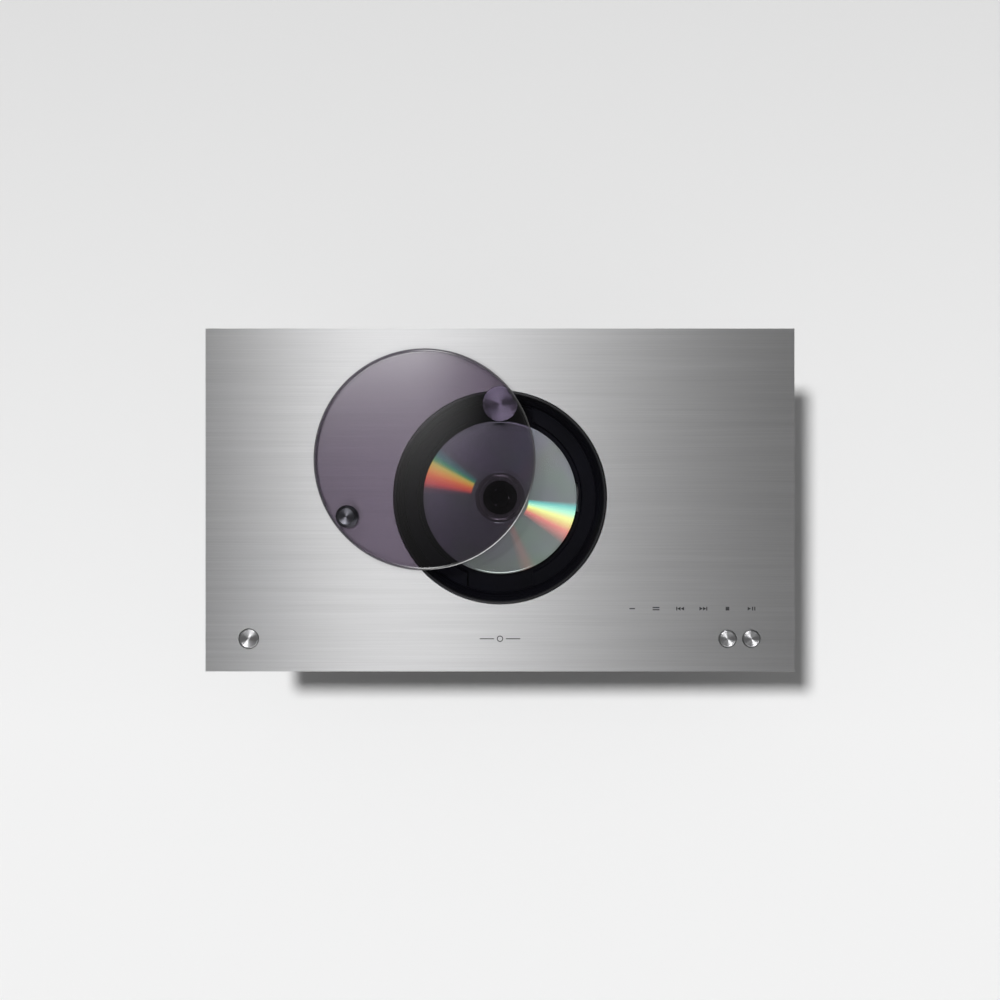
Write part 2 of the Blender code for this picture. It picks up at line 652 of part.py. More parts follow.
def make_grille():
    """The steel grille that wraps the front, with a window for the display in its middle."""
    wide, front = CABINET_HALF_WIDTH, CABINET_FRONT
    centre_y = front + FRONT_CORNER
    corner = wide - FRONT_CORNER
    inner = FRONT_CORNER - GRILLE_WALL
    outside = arc((-corner, centre_y), FRONT_CORNER, 180, 270, 8)
    outside += arc((corner, centre_y), FRONT_CORNER, 270, 360, 8)
    inside = arc((corner, centre_y), inner, 360, 270, 8) + arc((-corner, centre_y), inner, 270, 180, 8)
    grille = slab(
        "front_grille", outside + inside, FLOOR_TOP + REST_GAP, DECK_UNDER - 0.3, "grille_steel",
    )
    opening = block(
        "window_cutter", (-WINDOW_HALF_WIDTH - 0.4, front - 4.0, SPEAKER_Z - WINDOW_HALF_TALL - 0.4),
        (WINDOW_HALF_WIDTH + 0.4, front + 6.0, SPEAKER_Z + WINDOW_HALF_TALL + 0.4), "steel",
    )
    cut(grille, opening)
    block(
        "display_window", (-WINDOW_HALF_WIDTH, front - 0.6, SPEAKER_Z - WINDOW_HALF_TALL),
        (WINDOW_HALF_WIDTH, front + 2.4, SPEAKER_Z + WINDOW_HALF_TALL), "black_gloss",
    )
    block(
        "display_module", (-52.0, front + 2.6, SPEAKER_Z - 12.0),
        (52.0, front + 8.6, SPEAKER_Z + 12.0), "board_green",
    )


def make_plinth():
    plinth = slab(
        "base_plinth",
        rounded(PLINTH_HALF_WIDTH, -PLINTH_HALF_DEPTH, PLINTH_HALF_DEPTH, 24.0, 32.0, 4),
        FOOT_TALL + REST_GAP, PLINTH_TOP, "painted_shell",
    )
    for n, (x, y) in enumerate(corners(150.0, 80.0)):
        post = rod(
            f"plinth_post_{n}", 10.0, (x, y, PLINTH_TOP - 2.0), (x, y, FLOOR_UNDER - REST_GAP),
            "Z", "steel", 20,
        )
        join(plinth, post)
    for name, (x, y) in zip(
        ("foot_front_left", "foot_front_right", "foot_rear_left", "foot_rear_right"),
        corners(172.0, 84.0),
    ):
        turned(
            name,
            [
                (0.0, 0.0), (FOOT_RADIUS - 1.5, 0.0), (FOOT_RADIUS, 1.5),
                (FOOT_RADIUS, FOOT_TALL), (0.0, FOOT_TALL),
            ],
            "rubber", (x, y, 0.0), 20,
        )


def corners(x, y):
    return ((-x, -y), (x, -y), (-x, y), (x, y))


def make_socket(name, x, size, cavity, finish):
    """A board-mounted connector whose face shows through the jack panel, with its hollow."""
    wide, tall, deep = size
    middle = BOARD_TOP + REST_GAP + tall / 2
    face = JACK_FACE + 0.3
    body = block(
        name, (x - wide / 2, face - deep, middle - tall / 2), (x + wide / 2, face, middle + tall / 2),
        finish,
    )
    hollow = block(
        name + "_hollow", (x - cavity[0] / 2, face - cavity[2], middle - cavity[1] / 2),
        (x + cavity[0] / 2, face + 2.0, middle + cavity[1] / 2), "steel",
    )
    cut(body, hollow)
    panel_hole = block(
        name + "_panel_cutter", (x - wide / 2 - FIT_GAP, JACK_FACE - 8.0, middle - tall / 2 - FIT_GAP),
        (x + wide / 2 + FIT_GAP, JACK_FACE + 3.0, middle + tall / 2 + FIT_GAP), "steel",
    )
    return panel_hole


SOCKETS = (
    # name, centre x, outer width/height/depth, hollow width/height/depth, finish
    ("mains_inlet", -78.0, (24.0, 18.0, 24.0), (17.0, 9.0, 16.0), "black_abs"),
    ("network_port", -30.0, (16.0, 13.5, 21.0), (12.0, 8.0, 12.0), "steel"),
    ("usb_port", 0.0, (14.4, 7.0, 16.0), (12.6, 5.2, 12.0), "steel"),
    ("optical_input", 26.0, (11.0, 12.0, 14.0), (7.0, 7.0, 8.0), "black_abs"),
    ("aux_jack", 48.0, (9.0, 9.0, 14.0), (3.6, 3.6, 11.0), "black_abs"),
    ("antenna_terminal", 74.0, (18.0, 12.0, 16.0), (12.0, 6.0, 8.0), "black_abs"),
)


def make_rear():
    panel = block(
        "rear_jack_panel", (-JACK_HALF_WIDTH, CABINET_BACK + REST_GAP, JACK_LOW),
        (JACK_HALF_WIDTH, JACK_FACE, JACK_HIGH), "black_abs",
    )
    for name, x, size, cavity, finish in SOCKETS:
        cut(panel, make_socket(name, x, size, cavity, finish))


def make_electronics():
    block(
        "main_board", (-96.0, 62.0, BOARD_TOP - BOARD_THICK), (96.0, 119.0, BOARD_TOP), "board_green",
    )
    supply = block(
        "power_supply_board", (-205.0, -50.0, 44.0), (-100.0, 38.0, 44.0 + BOARD_THICK), "board_green",
    )
    for n, x in enumerate((-188.0, -168.0)):
        capacitor = rod(
            f"capacitor_{n}", 8.0, (x, 20.0, 45.0), (x, 20.0, 80.0), "Z", "steel", 20,
        )
        join(supply, capacitor)
    block("power_transformer", (-140.0, -30.0, 45.8), (-106.0, 6.0, 78.0), "copper")
    sink = block("heat_sink", (112.0, -46.0, 44.0), (190.0, 34.0, 49.0), "dark_aluminium")
    for n in range(7):
        x = 114.0 + n * 12.0
        fin = block(f"fin_{n}", (x, -46.0 + 0.5, 48.0), (x + 2.0, 33.5, 74.0), "dark_aluminium")
        join(sink, fin)


def build():
    clear_scene()
    make_materials()
    make_deck()
    make_buttons()
    make_well()
    make_lid()
    make_disc_drive()
    make_speakers()
    make_cabinet()
    make_rear()
    make_electronics()


build()
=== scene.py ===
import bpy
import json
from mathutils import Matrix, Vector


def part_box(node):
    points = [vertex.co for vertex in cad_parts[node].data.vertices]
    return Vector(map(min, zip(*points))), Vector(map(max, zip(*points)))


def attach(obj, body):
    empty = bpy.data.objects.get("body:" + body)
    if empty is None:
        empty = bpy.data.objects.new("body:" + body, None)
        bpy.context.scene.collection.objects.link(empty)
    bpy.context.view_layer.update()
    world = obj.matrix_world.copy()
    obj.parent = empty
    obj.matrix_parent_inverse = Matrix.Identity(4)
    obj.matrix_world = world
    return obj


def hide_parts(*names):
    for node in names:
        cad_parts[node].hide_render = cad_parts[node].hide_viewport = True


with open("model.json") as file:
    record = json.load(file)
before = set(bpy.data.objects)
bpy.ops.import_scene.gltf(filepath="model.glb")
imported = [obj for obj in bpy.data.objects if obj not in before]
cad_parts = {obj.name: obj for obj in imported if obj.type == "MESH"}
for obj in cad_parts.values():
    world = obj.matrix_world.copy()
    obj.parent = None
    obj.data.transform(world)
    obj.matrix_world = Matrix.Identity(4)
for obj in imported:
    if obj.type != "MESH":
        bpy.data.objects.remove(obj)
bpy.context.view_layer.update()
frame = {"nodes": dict(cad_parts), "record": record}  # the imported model: every node's place is in its mesh

import json
import math

import bpy
from mathutils import Matrix, Vector

mm = 0.001
allRound = 160  # sides of a large turned piece
smallRound = 64


# places that everything else is worked out from

plateLow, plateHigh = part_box("top_plate")
discLow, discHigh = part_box("compact_disc")
shaftLow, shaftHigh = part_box("lid_pivot_shaft")
lidLow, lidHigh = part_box("disc_lid")
deckTop = plateHigh.z
discAxis = Vector(((discLow.x + discHigh.x) / 2, (discLow.y + discHigh.y) / 2, 0.0))
pivotAxis = Vector(((shaftLow.x + shaftHigh.x) / 2, (shaftLow.y + shaftHigh.y) / 2, 0.0))
lidAxis = Vector(((lidLow.x + lidHigh.x) / 2, (lidLow.y + lidHigh.y) / 2, 0.0))


def middleOf(node):
    low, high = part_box(node)
    return (low + high) / 2


# camera and light first

studio = {
    "cameraAboveDeck": 0.873,
    "viewWidthAtDeck": 0.764,  # what the picture takes in at the deck's height
    # the floor's colour carries a painted light falloff: lighter at the front, painted shade towards the
    # rear
    "floorNear": "#f4f4f4",
    "floorFarPaintedShade": "#e0e0e0",
    "floorPaintedShadeFade": (-0.20, 0.45),
    "floorSize": 30.0,
    "keySlope": (-0.355, 0.28),  # upper left, so shadows fall to the lower right
    "keySoftness": 6.5,  # degrees across
    "keyStrength": 2.85,
    "roomTop": 0.08,  # brightness overhead
    "roomSide": 0.22,  # half way down
    "roomLow": 0.26,  # and at the horizon
    "backdrop": 0.78,  # what the camera sees past the floor
    "boxCentre": -0.118,  # the soft box, in slopes from straight up
    "boxHalfWidth": 0.115,
    "boxNear": 0.15,
    "boxFar": 0.20,
    "boxGlow": 0.044,  # how fast its glow falls off towards the middle of the ceiling
    "boxBrightness": 8.4,
    "panelCentre": -0.043,  # two wide panels, along the front and the rear
    "panelLean": 0.03,
    "panelHalfWidth": 0.225,
    "panelNear": 0.3,
    "panelFar": 1.1,
    "panelBrightness": 2.4,
    "sideGlow": 0.29,  # faint spill to the right of the middle
    "fillStrength": 0.17,  # what the room adds to matt surfaces
    "glintSlope": (-0.03, 0.24),  # small light that only the spun metal faces catch
    "glintSoftness": 14.0,
    "glintStrength": 1.0,
    "cardTowards": (0.6, -0.8, 0.0),  # white card at the lower right, low down
    "cardSpread": (0.68, 0.97),  # cosines from its centre: where it starts and where it is full
    "cardBrightness": 2.8,
}


def hexToLinear(text):
    values = [int(text[i:i + 2], 16) / 255 for i in (1, 3, 5)]
    return [v / 12.92 if v <= 0.04045 else ((v + 0.055) / 1.055) ** 2.4 for v in values] + [1.0]


def addNode(tree, kind, inputs=None, feeds=None, stops=(), **settings):
    # inputs hold numbers, sockets or whole nodes, and a whole node gives its live output
    made = tree.nodes.new(kind)
    for key, value in settings.items():
        setattr(made, key, value)
    for key, value in (inputs or {}).items():
        if isinstance(value, bpy.types.Node):
            value = [socket for socket in value.outputs if socket.enabled][0]
        if isinstance(value, bpy.types.NodeSocket):
            tree.links.new(value, made.inputs[key])
        else:
            made.inputs[key].default_value = value
    for n, (position, colour) in enumerate(stops):
        elements = made.color_ramp.elements
        stop = elements[n] if n < 2 else elements.new(position)
        stop.position, stop.color = position, hexToLinear(colour)
    if feeds:
        tree.links.new([socket for socket in made.outputs if socket.enabled][0], feeds)
    return made


def makeCamera():
    lens = bpy.data.cameras.new("camera")
    lens.sensor_width = 36.0
    lens.lens = lens.sensor_width * studio["cameraAboveDeck"] / studio["viewWidthAtDeck"]
    lens.clip_start = 0.01
    lens.clip_end = 50.0
    camera = bpy.data.objects.new("camera", lens)
    camera.location = (0.0, 0.0, deckTop + studio["cameraAboveDeck"])
    bpy.context.scene.collection.objects.link(camera)
    bpy.context.scene.camera = camera


def makeRoom():
    # what polished faces mirror: a dim room, one soft box over the rear edge and two wide panels
    world = bpy.data.worlds.new("studio")
    bpy.context.scene.world = world
    world.use_nodes = True
    tree = world.node_tree
    sky = tree.nodes["Background"]
    sky.inputs["Color"].default_value = hexToLinear("#ffffff")
    maths, ramp = "ShaderNodeMath", "ShaderNodeMapRange"

    # slopes from straight up: across to the right, back to the rear
    direction = addNode(tree, "ShaderNodeTexCoord").outputs["Generated"]
    part = addNode(tree, "ShaderNodeSeparateXYZ", {0: direction})
    height = addNode(tree, maths, {0: part.outputs["Z"], 1: 0.02}, operation="MAXIMUM")
    across = addNode(tree, maths, {0: part.outputs["X"], 1: height}, operation="DIVIDE")
    back = addNode(tree, maths, {0: part.outputs["Y"], 1: height}, operation="DIVIDE")
    away = addNode(tree, maths, {0: back}, operation="ABSOLUTE")
    level = addNode(tree, maths, {0: part.outputs["Z"]}, operation="ABSOLUTE")
    above = addNode(tree, maths, {0: part.outputs["Z"], 1: 0.0}, operation="GREATER_THAN")

    # the soft box has a glow that dies away across the ceiling, and the panels lean
    glow = addNode(tree, maths, {0: back, 1: studio["boxNear"]}, operation="SUBTRACT")
    glow = addNode(tree, maths, {0: glow, 1: 0.0}, operation="MINIMUM")
    glow = addNode(tree, maths, {0: glow, 1: studio["boxGlow"]}, operation="DIVIDE")
    glow = addNode(tree, maths, {0: glow}, operation="EXPONENT")
    lean = addNode(tree, maths, {0: back}, operation="SIGN")
    lean = addNode(
        tree, maths, {0: lean, 1: studio["panelLean"], 2: studio["panelCentre"]},
        operation="MULTIPLY_ADD",
    )
    aside = []
    for centre in (studio["boxCentre"], lean):
        gap = addNode(tree, maths, {0: across, 1: centre}, operation="SUBTRACT")
        aside.append(addNode(tree, maths, {0: gap}, operation="ABSOLUTE"))
    card = addNode(
        tree, "ShaderNodeVectorMath", {0: direction, 1: studio["cardTowards"]},
        operation="DOT_PRODUCT",
    )

    # each light: its brightness, what else scales it, then what fades it, from where to where
    boxHalf, boxFar = studio["boxHalfWidth"], studio["boxFar"]
    panelHalf, near, far = studio["panelHalfWidth"], studio["panelNear"], studio["panelFar"]
    lights = [
        (studio["roomLow"] - studio["roomSide"], [], [(level, 0.5, 0.15)]),
        (studio["sideGlow"], [], [(across, 0.0, 0.08), (across, 0.3, 0.1), (away, 0.3, 0.1)]),
        (studio["cardBrightness"], [], [(card, *studio["cardSpread"])]),
        (studio["boxBrightness"], [glow], [
            (aside[0], boxHalf, boxHalf * 0.3), (back, boxFar * 1.5, boxFar),
        ]),
        (studio["panelBrightness"], [above], [
            (aside[1], panelHalf, panelHalf * 0.2), (away, near * 0.7, near * 1.5),
            (away, far * 1.4, far),
        ]),
    ]
    total = addNode(
        tree, ramp, {0: level, 1: 1.0, 2: 0.5, 3: studio["roomTop"], 4: studio["roomSide"]},
    )
    for light, factors, fades in lights:
        for value, start, full in fades:
            factors.append(addNode(
                tree, ramp, {0: value, 1: start, 2: full}, interpolation_type="SMOOTHSTEP",
            ))
        for factor in factors:
            light = addNode(tree, maths, {0: light, 1: factor}, operation="MULTIPLY")
        total = addNode(tree, maths, {0: total, 1: light}, operation="ADD")

    # polished faces see the lights, matt ones an even fill, and the camera a pale backdrop
    ray = addNode(tree, "ShaderNodeLightPath")
    shown = addNode(
        tree, "ShaderNodeMix",
        {0: ray.outputs["Is Glossy Ray"], 2: studio["fillStrength"], 3: total},
    )
    addNode(
        tree, "ShaderNodeMix", {0: ray.outputs["Is Camera Ray"], 2: shown, 3: studio["backdrop"]},
        feeds=sky.inputs["Strength"],
    )


def makeSun(name, slope, strength, softness):
    sun = bpy.data.lights.new(name, "SUN")
    sun.energy = strength
    sun.angle = math.radians(softness)
    made = bpy.data.objects.new(name, sun)
    made.rotation_euler = Vector((slope[0], slope[1], 1.0)).to_track_quat("Z", "Y").to_euler()
    bpy.context.scene.collection.objects.link(made)
    return made


def makeStudio():
    makeRoom()
    bpy.context.scene.view_settings.view_transform = "Standard"
    key = makeSun("keyLight", studio["keySlope"], studio["keyStrength"], studio["keySoftness"])
    key.visible_glossy = False  # the soft box is what shows in polished faces
    glint = makeSun(
        "glintLight", studio["glintSlope"], studio["glintStrength"], studio["glintSoftness"],
    )
    glint.light_linking.receiver_collection = bpy.data.collections.new("spunFaces")
    deselectAll()
    bpy.ops.mesh.primitive_plane_add(size=studio["floorSize"], location=(0, 0, 0))
    floor = bpy.context.object
    floor.name = "floor"
    floorPaint, tree, shader = newMaterial("matt floor paint with painted shade to the rear", studio["floorNear"], 0.85)
    place = addNode(tree, "ShaderNodeTexCoord")
    part = addNode(tree, "ShaderNodeSeparateXYZ", {0: place.outputs["Object"]})
    # painted shade: the floor's colour darkens towards the rear, standing in for light falling off
    near, far = studio["floorPaintedShadeFade"]
    along = addNode(tree, "ShaderNodeMapRange", {0: part.outputs["Y"], 1: near, 2: far})
    addNode(
        tree, "ShaderNodeMix",
        {0: along, 6: hexToLinear(studio["floorNear"]), 7: hexToLinear(studio["floorFarPaintedShade"])},
        data_type="RGBA", feeds=shader.inputs["Base Color"],
    )
    floor.data.materials.append(floorPaint)


# modelling helpers

def deselectAll():
    if bpy.context.object and bpy.context.object.mode != "OBJECT":
        bpy.ops.object.mode_set(mode="OBJECT")
    bpy.ops.object.select_all(action="DESELECT")


def pick(piece):
    deselectAll()
    piece.select_set(True)
    bpy.context.view_layer.objects.active = piece


def turnPiece(name, axis, outline, sides=smallRound, hole=False):
    # a circle drawn out and scaled along the outline of (radius, height), both in metres
    deselectAll()
    radius, height = outline[0]
    bpy.ops.mesh.primitive_circle_add(
        vertices=sides, radius=radius, fill_type="NOTHING" if hole else "NGON",
        location=(axis[0], axis[1], height),
    )
    piece = bpy.context.object
    piece.name = name
    bpy.ops.object.mode_set(mode="EDIT")
    bpy.ops.mesh.select_all(action="SELECT")
    for nextRadius, nextHeight in outline[1:] + (outline[:1] if hole else []):
        rise = nextHeight - height
        bpy.ops.mesh.extrude_region_move(TRANSFORM_OT_translate={"value": (0, 0, rise)})
        ratio = nextRadius / radius
        bpy.ops.transform.resize(
            value=(ratio, ratio, 1), center_override=(axis[0], axis[1], nextHeight),
        )
        radius, height = nextRadius, nextHeight
    bpy.ops.mesh.select_all(action="SELECT")
    bpy.ops.mesh.remove_doubles(threshold=1e-6)
    bpy.ops.mesh.normals_make_consistent(inside=False)
    bpy.ops.object.mode_set(mode="OBJECT")
    return piece


def blockPiece(name, low, high, edge=0.0, segments=3):
    # a cube at its size and place, with eased edges
    deselectAll()
    middle = [(a + b) / 2 for a, b in zip(low, high)]
    bpy.ops.mesh.primitive_cube_add(size=1.0, location=middle)
    piece = bpy.context.object
    piece.name = name
    piece.scale = [b - a for a, b in zip(low, high)]
    bpy.ops.object.transform_apply(location=True, rotation=True, scale=True)
    if edge:
        bpy.ops.object.mode_set(mode="EDIT")
        bpy.ops.mesh.select_all(action="SELECT")
        bpy.ops.mesh.bevel(offset=edge, segments=segments, affect="EDGES", profile=0.5)
        bpy.ops.object.mode_set(mode="OBJECT")
    return piece


def roundCorners(piece, radii, segments=24):
    # rounds the upright edges; radii gives the front and the rear corners
    for front, radius in zip((True, False), radii):
        pick(piece)
        bpy.ops.object.mode_set(mode="EDIT")
        bpy.ops.mesh.select_mode(type="EDGE")
        bpy.ops.mesh.select_all(action="DESELECT")
        bpy.ops.object.mode_set(mode="OBJECT")
        points = piece.data.vertices
        middle = (min(v.co.y for v in points) + max(v.co.y for v in points)) / 2
        edges = []
        for edge in piece.data.edges:
            a, b = (points[i].co for i in edge.vertices)
            upright = abs(a.x - b.x) < 1e-6 and abs(a.y - b.y) < 1e-6
            if upright and (a.y < middle) == front:
                edges.append((edge, abs(a.x)))
        outermost = max((x for _, x in edges), default=0.0)
        for edge, x in edges:
            edge.select = x > outermost - 1e-5
        bpy.ops.object.mode_set(mode="EDIT")
        bpy.ops.mesh.bevel(offset=radius, segments=segments, affect="EDGES", profile=0.5)
        bpy.ops.object.mode_set(mode="OBJECT")


def applyAll(piece):
    pick(piece)
    for modifier in list(piece.modifiers):
        bpy.ops.object.modifier_apply(modifier=modifier.name)


def easeEdges(piece, width, segments=2, angle=40):
    ease = piece.modifiers.new("ease", "BEVEL")
    ease.width = width
    ease.segments = segments
    ease.limit_method = "ANGLE"
    ease.angle_limit = math.radians(angle)
    ease.harden_normals = False
    applyAll(piece)


def combine(piece, others, operation):
    for other in others:
        step = piece.modifiers.new("combine", "BOOLEAN")
        step.object = other
        step.operation = operation
        step.solver = "EXACT"
        applyAll(piece)
        bpy.data.objects.remove(other)


def finishPiece(piece, body, material, replaced=(), smooth=30):
    pick(piece)
    bpy.ops.object.transform_apply(location=True, rotation=True, scale=True)
    bpy.ops.object.shade_smooth_by_angle(angle=math.radians(smooth))
    piece.data.name = piece.name
    piece.data.materials.clear()
    piece.data.materials.append(material)
    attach(piece, body)
    if replaced:
        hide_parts(*replaced)
    return piece


def copyPiece(piece, name, shift):
    made = piece.copy()
    made.data = piece.data.copy()
    made.name = name
    made.data.transform(Matrix.Translation(shift))
    bpy.context.scene.collection.objects.link(made)
    return made


# materials; every pattern is sized in metres and sits still on its piece

def newMaterial(name, colour, roughness, metallic=0.0):
    made = bpy.data.materials.new(name)
    made.use_nodes = True
    shader = made.node_tree.nodes["Principled BSDF"]
    shader.inputs["Base Color"].default_value = hexToLinear(colour)
    shader.inputs["Roughness"].default_value = roughness
    shader.inputs["Metallic"].default_value = metallic
    return made, made.node_tree, shader


def clearMaterial(name, tint, roughness):
    # see-through dye under a mirror; the caller says how much of each
    made = bpy.data.materials.new(name)
    made.use_nodes = True
    tree = made.node_tree
    tree.nodes.remove(tree.nodes["Principled BSDF"])
    through = addNode(tree, "ShaderNodeBsdfTransparent", {"Color": hexToLinear(tint)})
    mirror = addNode(
        tree, "ShaderNodeBsdfGlossy", {"Color": hexToLinear("#ffffff"), "Roughness": roughness},
    )
    mixed = addNode(
        tree, "ShaderNodeMixShader", {1: through, 2: mirror},
        feeds=tree.nodes["Material Output"].inputs["Surface"],
    )
    return made, tree, mixed


def stretched(tree, size, centre=(0.0, 0.0, 0.0)):
    # object coordinates counted in grains of the given size in metres
    place = addNode(tree, "ShaderNodeTexCoord").outputs["Object"]
    moved = addNode(tree, "ShaderNodeVectorMath", {0: place, 1: centre}, operation="SUBTRACT")
    return addNode(tree, "ShaderNodeVectorMath", {0: moved, 1: size}, operation="DIVIDE")


def brushedAluminium():
    # clear anodised sheet, brushed along its length: long fine streaks, light spread across them
    made, tree, shader = newMaterial("brushed anodised aluminium", "#c9c9ca", 0.36, 1.0)
    found = []
    for grain, detail in ((deck["streak"], 3.0), (deck["band"], 2.0)):
        found.append(addNode(
            tree, "ShaderNodeTexNoise",
            {"Vector": stretched(tree, grain), "Scale": 1.0, "Detail": detail},
        ).outputs["Fac"])
    fine, broad = found
    both = addNode(tree, "ShaderNodeMix", {0: 0.4, 2: fine, 3: broad})
    addNode(
        tree, "ShaderNodeValToRGB", {0: both}, stops=[(0.3, "#c2c2c3"), (0.7, "#d0d0d1")],
        feeds=shader.inputs["Base Color"],
    )
    addNode(
        tree, "ShaderNodeMapRange", {0: both, 3: 0.32, 4: 0.40}, feeds=shader.inputs["Roughness"],
    )
    addNode(tree, "ShaderNodeCombineXYZ", {"Y": 1.0}, feeds=shader.inputs["Tangent"])
    addNode(
        tree, "ShaderNodeBump", {"Height": fine, "Distance": 0.004 * mm, "Strength": 1.0},
        feeds=shader.inputs["Normal"],
    )
    shader.inputs["Anisotropic"].default_value = 0.85
    return made


def spunMetal(name, centre, dark, light, roughness, pitch=0.32 * mm):
    # turned end face: rings a third of a millimetre apart that draw each light into a bow tie
    made, tree, shader = newMaterial(name, light, roughness, 1.0)
    rings = addNode(
        tree, "ShaderNodeTexWave",
        {"Vector": stretched(tree, (1.0,) * 3, centre), "Scale": math.pi / 10 / pitch,
         "Distortion": 0.4},
        wave_type="RINGS", rings_direction="Z",
    ).outputs["Fac"]
    addNode(
        tree, "ShaderNodeValToRGB", {0: rings}, stops=[(0.3, dark), (0.7, light)],
        feeds=shader.inputs["Base Color"],
    )
    addNode(
        tree, "ShaderNodeTangent", direction_type="RADIAL", axis="Z",
        feeds=shader.inputs["Tangent"],
    )
    addNode(
        tree, "ShaderNodeBump", {"Height": rings, "Distance": 0.002 * mm, "Strength": 1.0},
        feeds=shader.inputs["Normal"],
    )
    shader.inputs["Anisotropic"].default_value = 0.93
    shader.inputs["Anisotropic Rotation"].default_value = 0.25
    return made


def mouldedPlastic(name, dark, light, roughness, grain=0.6 * mm, sheen=0.35):
    # injection moulded, with the fine grain of the tool that leaves it satin
    made, tree, shader = newMaterial(name, light, roughness)
    found = []
    for size, detail in ((grain, 3.0), (30 * mm, 2.0)):
        found.append(addNode(
            tree, "ShaderNodeTexNoise",
            {"Vector": stretched(tree, (size,) * 3), "Scale": 1.0, "Detail": detail},
        ).outputs["Fac"])
    fine, cloud = found
    addNode(
        tree, "ShaderNodeValToRGB", {0: cloud}, stops=[(0.3, dark), (0.7, light)],
        feeds=shader.inputs["Base Color"],
    )
    addNode(
        tree, "ShaderNodeMapRange", {0: fine, 3: roughness - 0.06, 4: roughness + 0.06},
        feeds=shader.inputs["Roughness"],
    )
    addNode(
        tree, "ShaderNodeBump", {"Height": fine, "Distance": 0.01 * mm, "Strength": 1.0},
        feeds=shader.inputs["Normal"],
    )
    shader.inputs["Specular IOR Level"].default_value = sheen
    return made


def paintedMetal(name, dark, light, roughness):
    # satin metallic paint: fine flake and a slight orange peel
    made, tree, shader = newMaterial(name, light, roughness, 0.55)
    found = []
    for size, detail in ((0.4 * mm, 2.0), (3 * mm, 1.0)):
        found.append(addNode(
            tree, "ShaderNodeTexNoise",
            {"Vector": stretched(tree, (size,) * 3), "Scale": 1.0, "Detail": detail},
        ).outputs["Fac"])
    flake, peel = found
    addNode(
        tree, "ShaderNodeValToRGB", {0: flake}, stops=[(0.3, dark), (0.7, light)],
        feeds=shader.inputs["Base Color"],
    )
    addNode(
        tree, "ShaderNodeBump", {"Height": peel, "Distance": 0.02 * mm, "Strength": 1.0},
        feeds=shader.inputs["Normal"],
    )
    return made


def platedSteel(name, dark, light, roughness):
    # bright plate over rolled sheet: faint cloudy spangle
    made, tree, shader = newMaterial(name, light, roughness, 1.0)
    spangle = addNode(
        tree, "ShaderNodeTexVoronoi", {"Vector": stretched(tree, (4 * mm,) * 3), "Scale": 1.0},
    ).outputs["Distance"]
    addNode(
        tree, "ShaderNodeValToRGB", {0: spangle}, stops=[(0.3, dark), (0.7, light)],
        feeds=shader.inputs["Base Color"],
    )
    addNode(
        tree, "ShaderNodeMapRange", {0: spangle, 3: roughness - 0.05, 4: roughness + 0.08},
        feeds=shader.inputs["Roughness"],
    )
    return made


def smokedAcrylic():
    # cast acrylic with a purple-grey smoke dye: clear depth under a sharp weak mirror
    made, tree, mixed = clearMaterial("polished smoked acrylic", "#d8d3da", 0.03)
    edge = addNode(tree, "ShaderNodeFresnel", {"IOR": 1.58})  # one mirror stands for both faces
    inside = addNode(tree, "ShaderNodeNewGeometry").outputs["Backfacing"]
    # and from inside there is none, because it would repeat the rim
    addNode(tree, "ShaderNodeMix", {0: inside, 2: edge, 3: 0.0}, feeds=mixed.inputs[0])
    return made


def smokedEdge():
    # the lid's rounded, polished rim: a long dark path through the dye under a bright line
    made, _, mixed = clearMaterial("polished smoked acrylic edge", "#8e8993", 0.12)
    mixed.inputs[0].default_value = 0.24
    return made


def clearPolycarbonate():
    # the disc's unmetalled middle: clear over the black hub, greyer where it is frosted
    made, tree, mixed = clearMaterial("clear polycarbonate", "#e6e8e8", 0.1)
    place = stretched(tree, (1.0, 1.0, 1.0), tuple(discAxis))
    flat = addNode(
        tree, "ShaderNodeVectorMath", {0: place, 1: (1.0, 1.0, 0.0)}, operation="MULTIPLY",
    )
    out = addNode(tree, "ShaderNodeVectorMath", {0: flat}, operation="LENGTH")
    edge = disc["platter"]
    addNode(
        tree, "ShaderNodeMapRange",
        {0: out, 1: edge, 2: edge + 0.5 * mm, 3: disc["shineOverHub"], 4: disc["shineOutside"]},
        feeds=mixed.inputs[0],
    )
    return made


# angles in degrees round the disc, anticlockwise from the right, with the painted rainbow glow that stands
# in for split light out there; even the dark stops add a faint painted glow
paintedRainbowGlow = [
    (-180, "#040608"), (-120, "#060808"), (-76, "#0a0e0a"), (-68, "#4c2010"), (-61, "#183018"),
    (-48, "#18301e"), (-37, "#0c0e0c"), (-32, "#903430"), (-27, "#c85448"), (-22, "#d4b858"),
    (-17, "#e0f080"), (-13, "#a0e8c0"), (-8, "#30b0a8"), (-4, "#0c1c1c"), (20, "#14201e"),
    (42, "#221a1e"), (62, "#121c24"), (80, "#0e1418"), (140, "#06080a"), (146, "#0a6a60"),
    (150, "#2c9c50"), (153, "#d8d040"), (157, "#f8b828"), (162, "#f87818"), (168, "#d83818"),
    (173, "#400808"), (177, "#040406"), (180, "#040608"),
]


